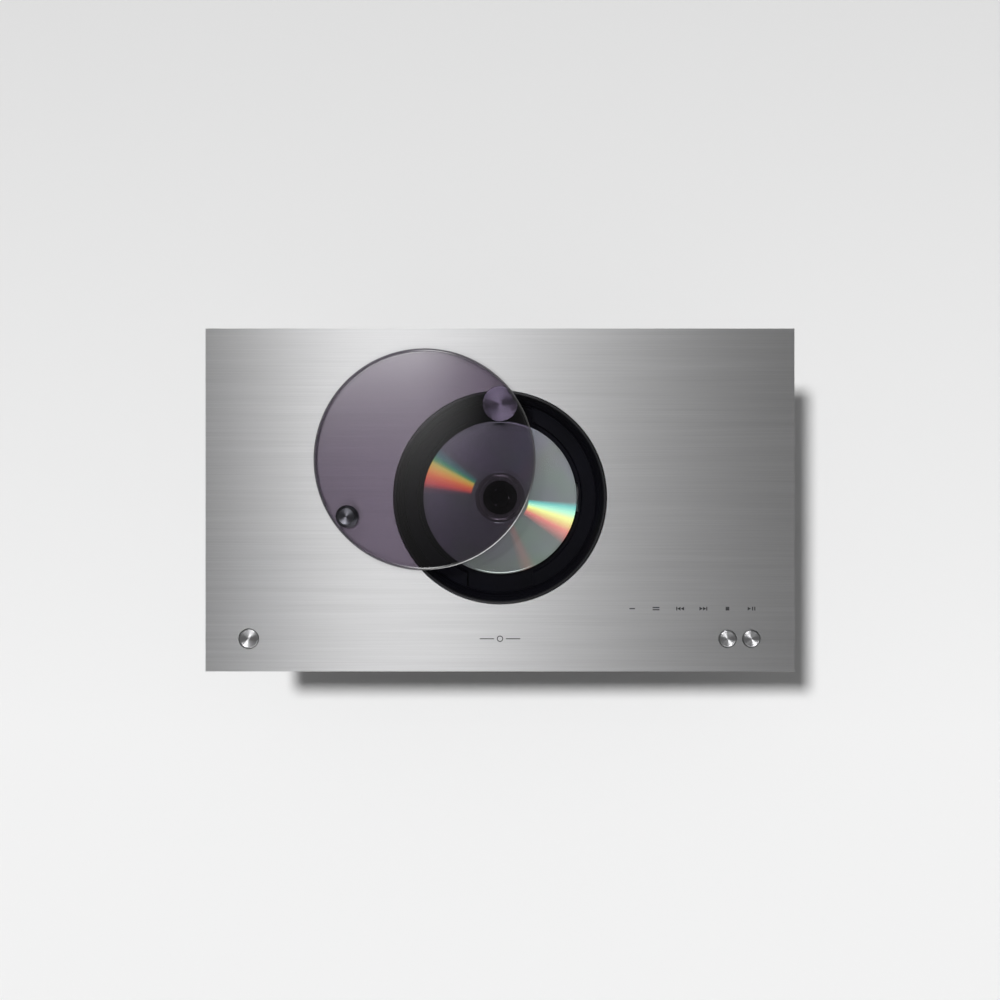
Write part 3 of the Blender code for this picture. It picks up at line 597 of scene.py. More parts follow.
def discMirror():
    # sputtered aluminium under polycarbonate: a grey mirror; the fans of split light from its track are
    # painted on as a glow, in emission and base colour
    made, tree, shader = newMaterial("sputtered disc mirror with painted rainbow glow", "#c4cccc", 0.13, 0.93)
    place = stretched(tree, (1.0,) * 3, tuple(discAxis))
    place = addNode(tree, "ShaderNodeSeparateXYZ", {0: place})
    angle = addNode(
        tree, "ShaderNodeMath", {0: place.outputs["Y"], 1: place.outputs["X"]},
        operation="ARCTAN2",
    )
    turn = addNode(tree, "ShaderNodeMapRange", {0: angle, 1: -math.pi, 2: math.pi})
    paintedFanColours = addNode(
        tree, "ShaderNodeValToRGB", {0: turn},
        stops=[((degrees + 180) / 360, colour) for degrees, colour in paintedRainbowGlow],
    ).outputs["Color"]
    # the painted glow starts where the track starts, further out than the metal, so the innermost band stays
    # plain
    flat = addNode(tree, "ShaderNodeCombineXYZ", {0: place.outputs["X"], 1: place.outputs["Y"]})
    reach = addNode(tree, "ShaderNodeVectorMath", {0: flat}, operation="LENGTH")
    start = disc["trackInner"]
    track = addNode(
        tree, "ShaderNodeMapRange", {0: reach, 1: start - 0.4 * mm, 2: start + 0.4 * mm},
    )
    paintedFanGlow = addNode(
        tree, "ShaderNodeMix", {0: track, 6: hexToLinear("#000000"), 7: paintedFanColours},
        data_type="RGBA", feeds=shader.inputs["Emission Color"],
    )
    haze = addNode(
        tree, "ShaderNodeTexNoise",
        {"Vector": stretched(tree, (30 * mm,) * 3), "Scale": 1.0, "Detail": 1.0},
    ).outputs["Fac"]
    grey = addNode(
        tree, "ShaderNodeValToRGB", {0: haze}, stops=[(0.3, "#c8d4ce"), (0.7, "#ccccd8")],
    )
    # the painted fan glow also lightens the base colour
    addNode(
        tree, "ShaderNodeMix", {0: 1.0, 6: grey, 7: paintedFanGlow}, data_type="RGBA", blend_type="SCREEN",
        feeds=shader.inputs["Base Color"],
    )
    # the painted fans glow, though the disc is no lamp
    shader.inputs["Emission Strength"].default_value = 0.9
    return made


# top plate and what is printed on it

deck = {
    "edgeEase": 0.6 * mm,
    "mouthRadius": 81.8 * mm,
    "holeGap": 0.45 * mm,
    "signHeight": 0.05 * mm,
    "signSize": 2.8 * mm,
    "signRow": -83.0 * mm,
    "signFirst": 101.0 * mm,
    "signPitch": 18.2 * mm,
    "markRow": -106.0 * mm,
    "inkDark": "#343436",
    "inkLight": "#404042",
    "streak": (90 * mm, 0.7 * mm, 10 * mm),  # drawn coarser than real brushing, so that it shows
    "band": (220 * mm, 4 * mm, 20 * mm),
}
buttonNodes = ("power_button", "volume_down_button", "volume_up_button")
buttonLip = 1.4 * mm  # how far each button's hidden lip stands out of its cap


def buttonAxis(node):
    low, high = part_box(node)
    return (low + high) / 2, (high.x - low.x) / 2 - buttonLip


def drill(axis, radius, low, high, sides):
    deselectAll()
    bpy.ops.mesh.primitive_cylinder_add(
        vertices=sides, radius=radius, depth=high - low,
        location=(axis[0], axis[1], (low + high) / 2),
    )
    return bpy.context.object


def makeDeck(material):
    plate = blockPiece("topPlate", plateLow, plateHigh)
    low, high = plateLow.z - mm, plateHigh.z + mm
    holes = [drill(discAxis, deck["mouthRadius"], low, high, 256)]
    for node in buttonNodes:
        axis, radius = buttonAxis(node)
        holes.append(drill(axis, radius + deck["holeGap"], low, high, smallRound))
    combine(plate, holes, "DIFFERENCE")
    easeEdges(plate, deck["edgeEase"] / 2, 2, 60)
    finishPiece(plate, "cabinet", material, ["top_plate"], smooth=8)


def bar(x, y, width, tall):
    top = deckTop + deck["signHeight"]
    return blockPiece(
        "bar", (x - width / 2, y - tall / 2, deckTop - deck["signHeight"]),
        (x + width / 2, y + tall / 2, top),
    )


def arrow(x, y, size, turn):
    # a three-sided prism that points to the right, or to the left when turned half round
    deselectAll()
    bpy.ops.mesh.primitive_cylinder_add(
        vertices=3, radius=size * 0.6, depth=2 * deck["signHeight"], location=(x, y, deckTop),
        rotation=(0, 0, math.radians(turn - 90)),
    )
    return bpy.context.object


def ringSign(x, y, radius, line):
    low, high = deckTop - deck["signHeight"], deckTop + deck["signHeight"]
    outline = [(radius - line, low), (radius, low), (radius, high), (radius - line, high)]
    return turnPiece("ring", (x, y), outline, 48, hole=True)


def joinAll(name, parts):
    deselectAll()
    for part in parts:
        part.select_set(True)
    bpy.context.view_layer.objects.active = parts[0]
    bpy.ops.object.join()
    joined = bpy.context.object
    joined.name = name
    return joined


def makeSigns(ink):
    size, row = deck["signSize"], deck["signRow"]
    at = [deck["signFirst"] + deck["signPitch"] * n for n in range(6)]
    line = size * 0.3
    parts = [
        bar(at[0], row, size * 1.5, line),
        bar(at[1], row + line, size * 1.9, line), bar(at[1], row - line, size * 1.9, line),
        arrow(at[2] - size * 0.1, row, size, 180), arrow(at[2] + size * 0.85, row, size, 180),
        bar(at[2] - size * 0.85, row, line, size),
        arrow(at[3] - size * 0.85, row, size, 0), arrow(at[3] + size * 0.1, row, size, 0),
        bar(at[3] + size * 0.85, row, line, size),
        bar(at[4], row, size, size),
        arrow(at[5] - size * 0.7, row, size, 0),
        bar(at[5] + size * 0.35, row, line, size), bar(at[5] + size * 0.95, row, line, size),
    ]
    finishPiece(joinAll("touchSigns", parts), "cabinet", ink)
    row = deck["markRow"]
    parts = [ringSign(0, row, 2.4 * mm, 0.7 * mm)]
    for side in (-1, 1):
        parts.append(bar(side * 10 * mm, row, 11 * mm, 0.7 * mm))
    finishPiece(joinAll("deckMark", parts), "cabinet", ink)


# round buttons

button = {
    "edge": 0.9 * mm,
    "dish": 0.15 * mm,
    "stem": 2.0 * mm,
    "lipDrop": 1.5 * mm,  # from the plate's underside
    "lipThick": 1.5 * mm,
    "dark": "#8c8c8e",
    "light": "#cccccd",
    "roughness": 0.36,
}
buttonBodies = ("power_key", "volume_down_key", "volume_up_key")
buttonPieces = ("powerCap", "volumeDownCap", "volumeUpCap")


def makeButtons():
    for node, body, name in zip(buttonNodes, buttonBodies, buttonPieces):
        axis, radius = buttonAxis(node)
        low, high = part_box(node)
        top, edge = high.z, button["edge"]
        lipTop = plateLow.z - button["lipDrop"]
        lipUnder = lipTop - button["lipThick"]
        outline = [
            (button["stem"], low.z), (button["stem"], lipUnder), (radius + buttonLip, lipUnder),
            (radius + buttonLip, lipTop), (radius, lipTop), (radius, top - edge),
            (radius - edge * 0.3, top - edge * 0.3), (radius - edge, top),
            (radius - 1.4 * edge, top - 0.05 * mm), (radius * 0.5, top - button["dish"] * 0.8),
            (0.2 * mm, top - button["dish"]),
        ]
        cap = turnPiece(name, axis, outline)
        spun = spunMetal(
            node + " spun aluminium", tuple(axis), button["dark"], button["light"],
            button["roughness"],
        )
        finishPiece(cap, body, spun, [node])
        bpy.data.collections["spunFaces"].objects.link(cap)


# disc well

well = {
    "hubOpening": 16.5 * mm,
    "recessRadius": 63.5 * mm,
    "recessFloor": -24.5 * mm,  # heights are counted from the deck's top
    "ledgeInner": 64.5 * mm,
    "ledgeTop": -21.0 * mm,
    "grooveRadius": 74.4 * mm,
    "wallTop": -7.2 * mm,
    "flangeRadius": 91.0 * mm,
    "underside": -27.0 * mm,
    "fingerHalfWidth": 25.8 * mm,
    "slotHalfWidth": 11.0 * mm,
    "slotEnd": 61.6 * mm,
    "slotStart": 12.0 * mm,
    "pocketInner": 52.0 * mm,  # finger recesses, from the disc's axis
    "pocketOuter": 80.0 * mm,
    "sleeveHole": 7.8 * mm,
    "trimWidth": 1.9 * mm,
    "stepCount": 3,
    "stepRun": 1.45 * mm,
    "dark": "#08080c",
    "light": "#0c0c12",
}


def makeWell():
    z = deckTop
    recess, ledge = z + well["recessFloor"], z + well["ledgeTop"]
    groove, wallTop, under = well["grooveRadius"], z + well["wallTop"], z + well["underside"]
    rise, run = (wallTop - ledge) / well["stepCount"], well["stepRun"]
    outline = [
        (well["hubOpening"], recess + 0.3 * mm), (well["hubOpening"] + 0.4 * mm, recess),
        (well["recessRadius"], recess), (well["ledgeInner"] - 0.3 * mm, ledge - 0.3 * mm),
        (well["ledgeInner"] + 0.1 * mm, ledge), (groove - 0.2 * mm, ledge),
        (groove, ledge - 0.9 * mm), (groove + 0.7 * mm, ledge - 0.9 * mm),
        (groove + 0.9 * mm, ledge + 0.6 * mm),
    ]
    radius = groove + 0.9 * mm
    for step in range(well["stepCount"]):
        outline.append((radius + run * 0.75, ledge + rise * (step + 1) - 0.25 * mm))
        radius += run
        outline.append((radius, ledge + rise * (step + 1)))
    outline += [
        (well["flangeRadius"], wallTop), (well["flangeRadius"], wallTop - 2.5 * mm),
        (radius + 2.2 * mm, wallTop - 2.5 * mm), (groove + 2.4 * mm, under),
        (well["hubOpening"], under),
    ]
    dish = turnPiece("discWell", discAxis, outline, allRound, hole=True)
    half, floor = well["fingerHalfWidth"], recess
    cutters = []
    for side in (-1, 1):
        pocket = drill(discAxis, groove - 0.25 * mm, floor, z, allRound)
        ends = sorted((side * well["pocketInner"], side * well["pocketOuter"]))
        keep = blockPiece(
            "pocketKeep", (-half, discAxis.y + ends[0], floor),
            (half, discAxis.y + ends[1], ledge + 2 * mm),
        )
        combine(pocket, [keep], "INTERSECT")
        cutters.append(pocket)
    slot = blockPiece(
        "slotCut", (well["slotStart"], discAxis.y - well["slotHalfWidth"], under - mm),
        (well["slotEnd"], discAxis.y + well["slotHalfWidth"], ledge + 2 * mm),
    )
    cutters.append(slot)
    cutters.append(drill(pivotAxis, well["sleeveHole"], under - mm, z - 8.5 * mm, smallRound))
    combine(dish, cutters, "DIFFERENCE")
    black = mouldedPlastic(
        "satin moulded black plastic", well["dark"], well["light"], 0.6, sheen=0.13,
    )
    finishPiece(dish, "cabinet", black, ["disc_well"])
    return black


def makeTrimRing():
    low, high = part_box("well_trim_ring")
    outer, top = (high.x - low.x) / 2, high.z
    inner = outer - well["trimWidth"]
    outline = [
        (inner, low.z), (outer, low.z), (outer, top - 0.5 * mm),
        (outer - 0.15 * mm, top - 0.15 * mm), (outer - 0.5 * mm, top), (inner + 0.6 * mm, top),
        (inner + 0.15 * mm, top - 0.3 * mm), (inner, top - 0.9 * mm),
    ]
    ring = turnPiece("wellTrimRing", discAxis, outline, 256, hole=True)
    gloss = mouldedPlastic("gloss moulded black trim", "#1e1e20", "#28282a", 0.22)
    finishPiece(ring, "cabinet", gloss, ["well_trim_ring"])


# lid, knob and pivot

lid = {
    "rimWidth": 3.0 * mm,
    "rimDrop": 1.9 * mm,
    "underRound": 0.6 * mm,
    "knobFace": 6.3 * mm,
    "knobDish": 0.2 * mm,
    "shaftRadius": 4.0 * mm,
    "pivotGroove": 10.6 * mm,
    "sleeveBore": 4.3 * mm,
    "sleeveRadius": 7.5 * mm,
    "knobDark": "#2a2a2e",
    "knobLight": "#606066",
    "pivotDark": "#2e2e33",
    "pivotLight": "#7a7a82",
}


def quarter(radius, height, size, start, stop, steps=6):
    # points round a corner whose centre is (radius, height), between two angles in degrees
    found = []
    for n in range(steps + 1):
        angle = math.radians(start + (stop - start) * n / steps)
        found.append((radius + size * math.cos(angle), height + size * math.sin(angle)))
    return found


def makeLid():
    radius = (lidHigh.x - lidLow.x) / 2
    under, wide, drop = lid["underRound"], lid["rimWidth"], lid["rimDrop"]
    outline = [(radius - under - mm, lidLow.z)]
    outline += quarter(radius - under, lidLow.z + under, under, -90, 0, 3)
    for x, z in quarter(0.0, 0.0, 1.0, 0, 90, 12):
        outline.append((radius - wide + wide * x, lidHigh.z - drop + drop * z))
    outline.append((radius - wide - 0.5 * mm, lidHigh.z))
    plate = turnPiece("discLid", lidAxis, outline, 256)
    finishPiece(plate, "lid", smokedAcrylic(), ["disc_lid"], smooth=35)
    plate.data.materials.append(smokedEdge())
    for face in plate.data.polygons:
        if abs(face.normal.z) < 0.96:
            face.material_index = 1


def makeKnob():
    low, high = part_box("finger_knob")
    axis, base = (low + high) / 2, (high.x - low.x) / 2
    face, top = lid["knobFace"], high.z
    outline = [
        (base - 0.4 * mm, low.z), (base, low.z + 0.4 * mm), (base - 0.5 * mm, low.z + 1.4 * mm),
        (base - 1.2 * mm, low.z + 2.3 * mm), (face + 0.15 * mm, top - 0.6 * mm),
        (face, top - 0.15 * mm), (face - 0.35 * mm, top), (face - 0.9 * mm, top - 0.1 * mm),
        (face * 0.5, top - lid["knobDish"]), (0.2 * mm, top - lid["knobDish"] * 1.2),
    ]
    knob = turnPiece("fingerKnob", axis, outline)
    metal = spunMetal(
        "dark anodised spun knob", tuple(axis), lid["knobDark"], lid["knobLight"], 0.32,
    )
    finishPiece(knob, "lid", metal, ["finger_knob"])
    bpy.data.collections["spunFaces"].objects.link(knob)


def makePivot(black):
    radius, z = (shaftHigh.x - shaftLow.x) / 2, shaftHigh.z
    shaft, low, groove = lid["shaftRadius"], shaftLow.z, lid["pivotGroove"]
    outline = [
        (shaft - 0.8 * mm, low), (shaft - 0.6 * mm, low + 1.5 * mm),
        (shaft + 2.6 * mm, low + 1.5 * mm), (shaft + 2.6 * mm, low + 2.5 * mm),
        (shaft, low + 2.5 * mm), (shaft, z - mm),
        (radius - 0.3 * mm, z - mm), (radius, z - 0.8 * mm), (radius, z - 0.2 * mm),
        (radius - 0.2 * mm, z), (groove + 0.7 * mm, z), (groove + 0.5 * mm, z - 0.25 * mm),
        (groove + 0.2 * mm, z - 0.25 * mm), (groove, z), (0.2 * mm, z),
    ]
    hub = turnPiece("lidPivot", pivotAxis, outline, smallRound)
    metal = spunMetal(
        "dull spun pivot", tuple(pivotAxis), lid["pivotDark"], lid["pivotLight"], 0.23,
    )
    finishPiece(hub, "lid", metal, ["lid_pivot_shaft"])
    bpy.data.collections["spunFaces"].objects.link(hub)
    low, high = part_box("pivot_sleeve")
    foot, bore, wall = (high.x - low.x) / 2, lid["sleeveBore"], lid["sleeveRadius"]
    outline = [
        (bore, low.z), (foot, low.z), (foot, low.z + 2.7 * mm), (foot - 0.3 * mm, low.z + 3 * mm),
        (wall, low.z + 3 * mm), (wall, high.z - 0.5 * mm), (wall - 0.5 * mm, high.z),
        (bore, high.z),
    ]
    sleeve = turnPiece("pivotSleeve", pivotAxis, outline, smallRound, hole=True)
    finishPiece(sleeve, "cabinet", black, ["pivot_sleeve"])


# disc and its drive

disc = {
    "hole": 7.5 * mm,
    "mirrorInner": 19.4 * mm,
    "trackInner": 22.6 * mm,
    "mirrorOuter": 58.6 * mm,
    "mirrorDepth": 0.08 * mm,
    "stackRing": 17.2 * mm,
    "hubBoss": 7.2 * mm,
    "platter": 13.3 * mm,
    "ballRadius": 0.9 * mm,
    "shineOverHub": 0.03,  # how much the clear middle mirrors over the hub, and outside it
    "shineOutside": 0.45,
}


def makeDisc():
    radius, hole = (discHigh.x - discLow.x) / 2, disc["hole"]
    low, top = discLow.z, discHigh.z
    inner, outer, deep = disc["mirrorInner"], disc["mirrorOuter"], disc["mirrorDepth"]
    middle = [
        (hole, low + 0.1 * mm), (hole + 0.1 * mm, low), (inner, low), (inner, top),
        (disc["stackRing"] + 0.4 * mm, top), (disc["stackRing"] + 0.15 * mm, top + 0.06 * mm),
        (disc["stackRing"] - 0.15 * mm, top + 0.06 * mm), (disc["stackRing"] - 0.4 * mm, top),
        (hole + 0.1 * mm, top), (hole, top - 0.1 * mm),
    ]
    clear = turnPiece("discClearMiddle", discAxis, middle, allRound, hole=True)
    finishPiece(clear, "disc", clearPolycarbonate(), ["compact_disc"], smooth=8)
    track = [
        (inner + 0.02 * mm, low), (radius - 0.2 * mm, low), (radius, low + 0.2 * mm),
        (radius, top - 0.25 * mm), (radius - 0.25 * mm, top), (outer + 0.3 * mm, top),
        (outer, top - deep), (inner + 0.6 * mm, top - deep), (inner + 0.4 * mm, top),
        (inner + 0.02 * mm, top),
    ]
    metal = turnPiece("discTrack", discAxis, track, 256, hole=True)
    finishPiece(metal, "disc", discMirror(), ["compact_disc"], smooth=8)
    low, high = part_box("turntable_hub")
    boss, platter, z = disc["hubBoss"], disc["platter"], high.z
    platterTop = discLow.z - 0.1 * mm
    outline = [
        (1 * mm, low.z), (1 * mm, platterTop - 3.6 * mm), (5 * mm, platterTop - 3.6 * mm),
        (5 * mm, platterTop - 1.7 * mm), (platter - 0.3 * mm, platterTop - 1.7 * mm),
        (platter, platterTop - 1.4 * mm), (platter, platterTop - 0.3 * mm),
        (platter - 0.3 * mm, platterTop), (boss, platterTop), (boss, z - 1.7 * mm),
        (boss - 0.5 * mm, z - 0.9 * mm), (boss - 1.4 * mm, z - 0.25 * mm), (boss - 2.4 * mm, z),
        (3.0 * mm, z), (2.7 * mm, z - 0.5 * mm), (0.2 * mm, z - 0.5 * mm),
    ]
    hub = turnPiece("turntableHub", discAxis, outline, smallRound)
    matt = mouldedPlastic("matt moulded hub plastic", "#030304", "#050507", 0.6, sheen=0.12)
    finishPiece(hub, "turntable", matt, ["turntable_hub"])
    steel = platedSteel("hardened clamp ball", "#a8a8aa", "#c8c8ca", 0.15)
    deselectAll()
    bpy.ops.mesh.primitive_uv_sphere_add(
        segments=20, ring_count=10, radius=disc["ballRadius"],
        location=(discAxis.x + boss - 0.75 * mm, discAxis.y, z - 1.5 * mm),
    )
    first = bpy.context.object
    first.name = "clampBall0"
    bpy.ops.object.transform_apply(location=True, rotation=True, scale=True)
    balls = [first]
    for n in (1, 2):
        ball = copyPiece(first, f"clampBall{n}", (0, 0, 0))
        turn = Matrix.Rotation(math.tau * n / 3, 4, "Z")
        ball.data.transform(
            Matrix.Translation(discAxis) @ turn @ Matrix.Translation(-discAxis)
        )
        balls.append(ball)
    for ball in balls:
        finishPiece(ball, "turntable", steel)


# cabinet

cabinet = {
    "frontRadius": 32 * mm,
    "rearRadius": 40 * mm,
    "shellWall": 4.0 * mm,
    "coneOpening": 50 * mm,
    "plinthThick": 5.9 * mm,
    "plinthRadii": (24 * mm, 32 * mm),  # front and rear corners
    "postPlaces": (150 * mm, 80 * mm),
    "postRadius": 10 * mm,
    "jackLip": 4 * mm,  # how far the rear panel laps its opening
    "portRadius": 18.2 * mm,
    "paintDark": "#8c8c8e",
    "paintLight": "#98989a",
    "grilleDark": "#1b1b1d",
    "grilleLight": "#242427",
    "grilleWall": 1.2 * mm,
    "grillePitch": 3.6 * mm,
    "grilleHole": 1.25 * mm,
}


def rodAlongDepth(name, x, z, start, stop, radius, sides=32, ease=0.0):
    deselectAll()
    bpy.ops.mesh.primitive_cylinder_add(
        vertices=sides, radius=radius, depth=stop - start, location=(x, (start + stop) / 2, z),
        rotation=(math.pi / 2, 0, 0),
    )
    made = bpy.context.object
    made.name = name
    bpy.ops.object.transform_apply(location=True, rotation=True, scale=True)
    if ease:
        easeEdges(made, ease, 3, 50)
    return made


def makeCabinet(paint):
    low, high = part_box("bottom_panel")
    floor = blockPiece("bottomPanel", low, high)
    roundCorners(floor, (cabinet["frontRadius"], cabinet["rearRadius"]))
    cone = middleOf("subwoofer_cone")
    opening = drill(cone, cabinet["coneOpening"], low.z - mm, high.z + mm, 96)
    combine(floor, [opening], "DIFFERENCE")
    easeEdges(floor, 0.8 * mm, 2, 60)
    finishPiece(floor, "cabinet", paint, ["bottom_panel"], smooth=20)
    low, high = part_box("base_plinth")
    top = low.z + cabinet["plinthThick"]
    plinth = blockPiece("basePlinth", low, (high.x, high.y, top))
    roundCorners(plinth, cabinet["plinthRadii"])
    easeEdges(plinth, 0.8 * mm, 2, 60)
    posts = []
    postX, postY = cabinet["postPlaces"]
    for x in (-postX, postX):
        for y in (-postY, postY):
            posts.append(drill((x, y), cabinet["postRadius"], top - mm, high.z, smallRound))
    combine(plinth, posts, "UNION")
    finishPiece(plinth, "cabinet", paint, ["base_plinth"], smooth=20)


def makeShell(paint):
    low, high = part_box("cabinet_shell")
    wall, corner = cabinet["shellWall"], cabinet["rearRadius"]
    shell = blockPiece("cabinetShell", low, high)
    roundCorners(shell, (0.1 * mm, corner))
    inside = blockPiece(
        "inside", (low.x + wall, low.y - 50 * mm, low.z - mm),
        (high.x - wall, high.y - wall, high.z + mm),
    )
    roundCorners(inside, (0.1 * mm, corner - wall))
    jackLow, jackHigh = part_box("rear_jack_panel")
    lap = cabinet["jackLip"]
    opening = blockPiece(
        "jackOpening", (jackLow.x + lap, high.y - 12 * mm, jackLow.z + lap),
        (jackHigh.x - lap, high.y + 6 * mm, jackHigh.z - lap),
    )
    cutters = [inside, opening]
    for node in ("port_tube_left", "port_tube_right"):
        middle = middleOf(node)
        cutters.append(rodAlongDepth(
            "portCut", middle.x, middle.z, high.y - 10 * mm, high.y + 10 * mm,
            cabinet["portRadius"], smallRound,
        ))
    combine(shell, cutters, "DIFFERENCE")
    finishPiece(shell, "cabinet", paint, ["cabinet_shell"], smooth=20)


def makeGrille():
    # one cell with a round hole, repeated into a sheet and bent round the front corners
    low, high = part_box("front_grille")
    radius, wall = cabinet["frontRadius"], cabinet["grilleWall"]
    straight = (high.x - low.x) - 2 * radius
    unrolled = straight + math.pi * (radius - wall / 2)
    across = round(unrolled / cabinet["grillePitch"])
    tall = round((high.z - low.z) / cabinet["grillePitch"])
    cellWide, cellTall = unrolled / across, (high.z - low.z) / tall
    deselectAll()
    bpy.ops.mesh.primitive_circle_add(
        vertices=8, radius=cabinet["grilleHole"], fill_type="NOTHING", rotation=(math.pi / 2, 0, 0),
    )
    sheet = bpy.context.object
    sheet.name = "frontGrille"
    bpy.ops.object.transform_apply(rotation=True)
    bpy.ops.object.mode_set(mode="EDIT")
    bpy.ops.mesh.select_all(action="SELECT")
    bpy.ops.mesh.extrude_edges_move()
    bpy.ops.object.mode_set(mode="OBJECT")
    for vertex in sheet.data.vertices:
        if vertex.select:  # the new ring is pushed out to the cell's square
            x, z = vertex.co.x, vertex.co.z
            most = max(abs(x), abs(z))
            vertex.co.x, vertex.co.z = x / most * cellWide / 2, z / most * cellTall / 2
    for name, count, step in (("across", across, (cellWide, 0, 0)), ("up", tall, (0, 0, cellTall))):
        repeat = sheet.modifiers.new(name, "ARRAY")
        repeat.use_relative_offset = False
        repeat.use_constant_offset = True
        repeat.constant_offset_displace = step
        repeat.count = count
        repeat.use_merge_vertices = True
        repeat.merge_threshold = 0.00002
    applyAll(sheet)
    windowLow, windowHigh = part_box("display_window")
    pick(sheet)
    mesh = sheet.data
    half = unrolled / 2
    bpy.ops.object.mode_set(mode="EDIT")
    bpy.ops.mesh.select_mode(type="FACE")
    bpy.ops.object.mode_set(mode="OBJECT")
    for face in mesh.polygons:
        x = face.center.x + cellWide / 2 - half
        z = face.center.z + cellTall / 2 + low.z
        face.select = windowLow.x < x < windowHigh.x and windowLow.z < z < windowHigh.z
    bpy.ops.object.mode_set(mode="EDIT")
    bpy.ops.mesh.delete(type="FACE")
    bpy.ops.object.mode_set(mode="OBJECT")
    centreY = low.y + radius
    bend = radius - wall / 2
    for vertex in mesh.vertices:
        along = vertex.co.x + cellWide / 2 - half
        vertex.co.z += cellTall / 2 + low.z
        side = 1 if along > 0 else -1
        past = abs(along) - straight / 2
        if past <= 0:
            vertex.co.x, vertex.co.y = along, low.y + wall / 2
        else:
            angle = min(past / bend, math.pi / 2)
            vertex.co.x = side * (straight / 2 + bend * math.sin(angle))
            vertex.co.y = centreY - bend * math.cos(angle)
    thick = sheet.modifiers.new("thick", "SOLIDIFY")
    thick.thickness = wall * 0.9
    thick.offset = 0.0
    applyAll(sheet)
    steel = paintedMetal(
        "satin painted perforated steel", cabinet["grilleDark"], cabinet["grilleLight"], 0.5,
    )
    finishPiece(sheet, "cabinet", steel, ["front_grille"], smooth=35)


rear = {
    "screwRadius": 2.7 * mm,
    "screwProud": 0.9 * mm,
    "screwInset": 7 * mm,
    "crossWidth": 0.7 * mm,
    "pinRadius": 1.15 * mm,
    "pinAside": 4.2 * mm,
    "pinStart": 16.5 * mm,  # in from the rear face
    "pinReach": 11 * mm,
    "contactCount": 8,
    "contactPitch": 1.0 * mm,
    "shutterHalf": 3.4 * mm,
    "bushRadius": 3.4 * mm,
    "bushBore": 1.8 * mm,
    "postRadius": 2.6 * mm,
    "postBore": 0.7 * mm,
}


def rearFace(node):
    # middle of the face that a node turns to the rear
    low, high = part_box(node)
    middle = (low + high) / 2
    return middle.x, high.y, middle.z


def makeRear():
    black = paintedMetal("black oxide screw", "#1a1a1c", "#262628", 0.35)
    plated = platedSteel("nickel plated contact", "#a8a49c", "#c4c0b8", 0.2)
    gilt = platedSteel("gold flashed contact", "#b08c48", "#d0ac60", 0.2)
    low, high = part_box("rear_jack_panel")
    spots = []
    for x in (low.x + rear["screwInset"], 0.0, high.x - rear["screwInset"]):
        spots += [(x, low.z + rear["screwInset"] * 0.45), (x, high.z - rear["screwInset"])]
    for n, (x, z) in enumerate(spots):
        head = rodAlongDepth(
            f"rearScrew{n}", x, z, high.y - 0.2 * mm, high.y + rear["screwProud"],
            rear["screwRadius"], ease=0.5 * mm,
        )
        half, reach = rear["crossWidth"] / 2, rear["screwRadius"] * 0.6
        deep = high.y + rear["screwProud"] * 0.25
        cutters = []
        for wide, tall in ((reach, half), (half, reach)):
            cutters.append(blockPiece(
                "cross", (x - wide, deep, z - tall), (x + wide, high.y + 3 * mm, z + tall),
            ))
        combine(head, cutters, "DIFFERENCE")
        finishPiece(head, "cabinet", black)
    x, face, z = rearFace("mains_inlet")
    start = face - rear["pinStart"]
    for n, side in enumerate((-1, 1)):
        pin = rodAlongDepth(
            f"inletPin{n}", x + side * rear["pinAside"], z, start, start + rear["pinReach"],
            rear["pinRadius"], 24, 0.5 * mm,
        )
        finishPiece(pin, "cabinet", plated)
    middle, face, z = rearFace("network_port")
    first = -(rear["contactCount"] - 1) / 2 * rear["contactPitch"]
    for n in range(rear["contactCount"]):
        x = middle + first + n * rear["contactPitch"]
        contact = blockPiece(
            f"networkContact{n}", (x - 0.22 * mm, face - 11.5 * mm, z + 2.2 * mm),
            (x + 0.22 * mm, face - 3 * mm, z + 2.7 * mm), 0.1 * mm, 2,
        )
        finishPiece(contact, "cabinet", gilt)
    x, face, z = rearFace("usb_port")
    tongue = blockPiece(
        "usbTongue", (x - 5.4 * mm, face - 11.8 * mm, z + 0.2 * mm),
        (x + 5.4 * mm, face - 2 * mm, z + 2.0 * mm), 0.3 * mm,
    )
    white = mouldedPlastic("moulded white nylon", "#c8c8c6", "#d4d4d2", 0.45)
    finishPiece(tongue, "cabinet", white)
    x, face, z = rearFace("aux_jack")
    bush = rodAlongDepth(
        "jackBush", x, z, face - 0.4 * mm, face + 0.8 * mm, rear["bushRadius"], 48, 0.3 * mm,
    )
    bore = rodAlongDepth("bore", x, z, face - 3 * mm, face + 3 * mm, rear["bushBore"])
    combine(bush, [bore], "DIFFERENCE")
    finishPiece(bush, "cabinet", plated)
    x, face, z = rearFace("optical_input")
    half = rear["shutterHalf"]
    shutter = blockPiece(
        "opticalShutter", (x - half, face - 2.6 * mm, z - half),
        (x + half, face - 1.4 * mm, z + half), 0.4 * mm,
    )
    grey = mouldedPlastic("moulded grey shutter", "#2a2a2c", "#363638", 0.4)
    finishPiece(shutter, "cabinet", grey)
    x, face, z = rearFace("antenna_terminal")
    post = rodAlongDepth(
        "antennaPost", x, z, face - 8.2 * mm, face + 2.2 * mm, rear["postRadius"], ease=0.4 * mm,
    )
    bore = rodAlongDepth("bore", x, z, face - mm, face + 4 * mm, rear["postBore"], 24)
    combine(post, [bore], "DIFFERENCE")
    finishPiece(post, "cabinet", gilt)


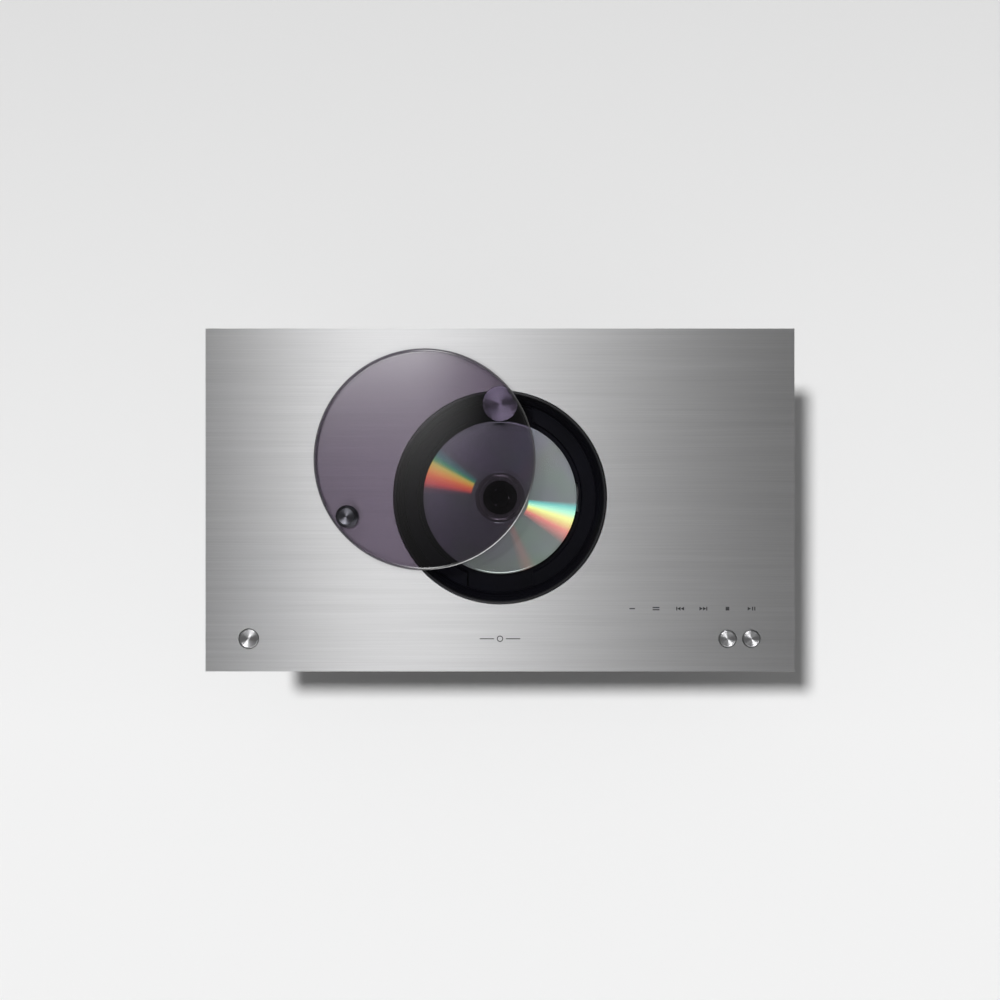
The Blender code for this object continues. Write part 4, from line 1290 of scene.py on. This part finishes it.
def makeFeet():
    rubber = mouldedPlastic("moulded foot rubber", "#161616", "#1e1e1e", 0.8)
    for node in ("foot_front_left", "foot_front_right", "foot_rear_left", "foot_rear_right"):
        low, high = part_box(node)
        axis, radius = (low + high) / 2, (high.x - low.x) / 2
        outline = [
            (2 * mm, 0.6 * mm), (radius - 3.2 * mm, 0.6 * mm), (radius - 3.0 * mm, 0.0),
            (radius - 1.5 * mm, 0.0), (radius - 0.5 * mm, 0.4 * mm), (radius, 1.5 * mm),
            (radius, high.z - 0.2 * mm), (radius - 0.2 * mm, high.z), (2 * mm, high.z),
        ]
        foot = turnPiece("rubber_" + node, axis, outline, smallRound)
        finishPiece(foot, "cabinet", rubber, [node])


# finishes for the CAD pieces that stay as they are

def dressFrame():
    steel = platedSteel("zinc plated sheet steel", "#8e8e90", "#a6a6a8", 0.35)
    groundSteel = platedSteel("ground rod steel", "#b0b0b2", "#c0c0c2", 0.2)
    basket = paintedMetal("black painted basket steel", "#121214", "#1a1a1c", 0.45)
    rubber = mouldedPlastic("moulded black rubber", "#131313", "#1b1b1b", 0.8)
    inner = mouldedPlastic("moulded black inner plastic", "#161618", "#202022", 0.5)
    paper = mouldedPlastic("pressed fibre cone", "#1c1c1e", "#2a2a2c", 0.85, 0.0009)
    board = mouldedPlastic("green solder mask", "#0e3a1e", "#14502a", 0.35)
    fibre = mouldedPlastic("painted fibreboard", "#121212", "#1c1c1c", 0.75, 0.0012)
    copper = platedSteel("enamelled copper winding", "#8a4a26", "#b0683a", 0.35)
    black = paintedMetal("black anodised extrusion", "#1c1c1e", "#28282a", 0.4)
    window = mouldedPlastic("polished black window acrylic", "#060607", "#0a0a0b", 0.08)
    finishes = {
        "plain_steel": steel, "rod_steel": groundSteel, "driver_steel": basket,
        "black_rubber": rubber, "inner_plastic": inner, "cone_paper": paper,
        "circuit_board": board, "baffle_board": fibre,
        "copper_winding": copper, "dark_aluminium": black, "window_acrylic": window,
        "well_plastic": inner, "trim_plastic": inner,
    }
    for entry in frame["record"]["subparts"]:
        piece = frame["nodes"][entry["node"]]
        material = finishes.get(entry["material_slot"])
        if material and not piece.hide_render:
            piece.data.materials.clear()
            piece.data.materials.append(material)


# the whole object

makeCamera()
makeStudio()
print("studio ready")
makeDeck(brushedAluminium())
makeSigns(mouldedPlastic("screen printed ink", deck["inkDark"], deck["inkLight"], 0.6))
makeButtons()
print("deck and buttons ready")
blackPlastic = makeWell()
makeTrimRing()
makeLid()
makeKnob()
makePivot(blackPlastic)
print("well and lid ready")
makeDisc()
print("disc ready")
shellPaint = paintedMetal(
    "satin silver-grey paint", cabinet["paintDark"], cabinet["paintLight"], 0.42,
)
makeCabinet(shellPaint)
makeShell(shellPaint)
makeGrille()
makeRear()
makeFeet()
print("cabinet ready")
dressFrame()
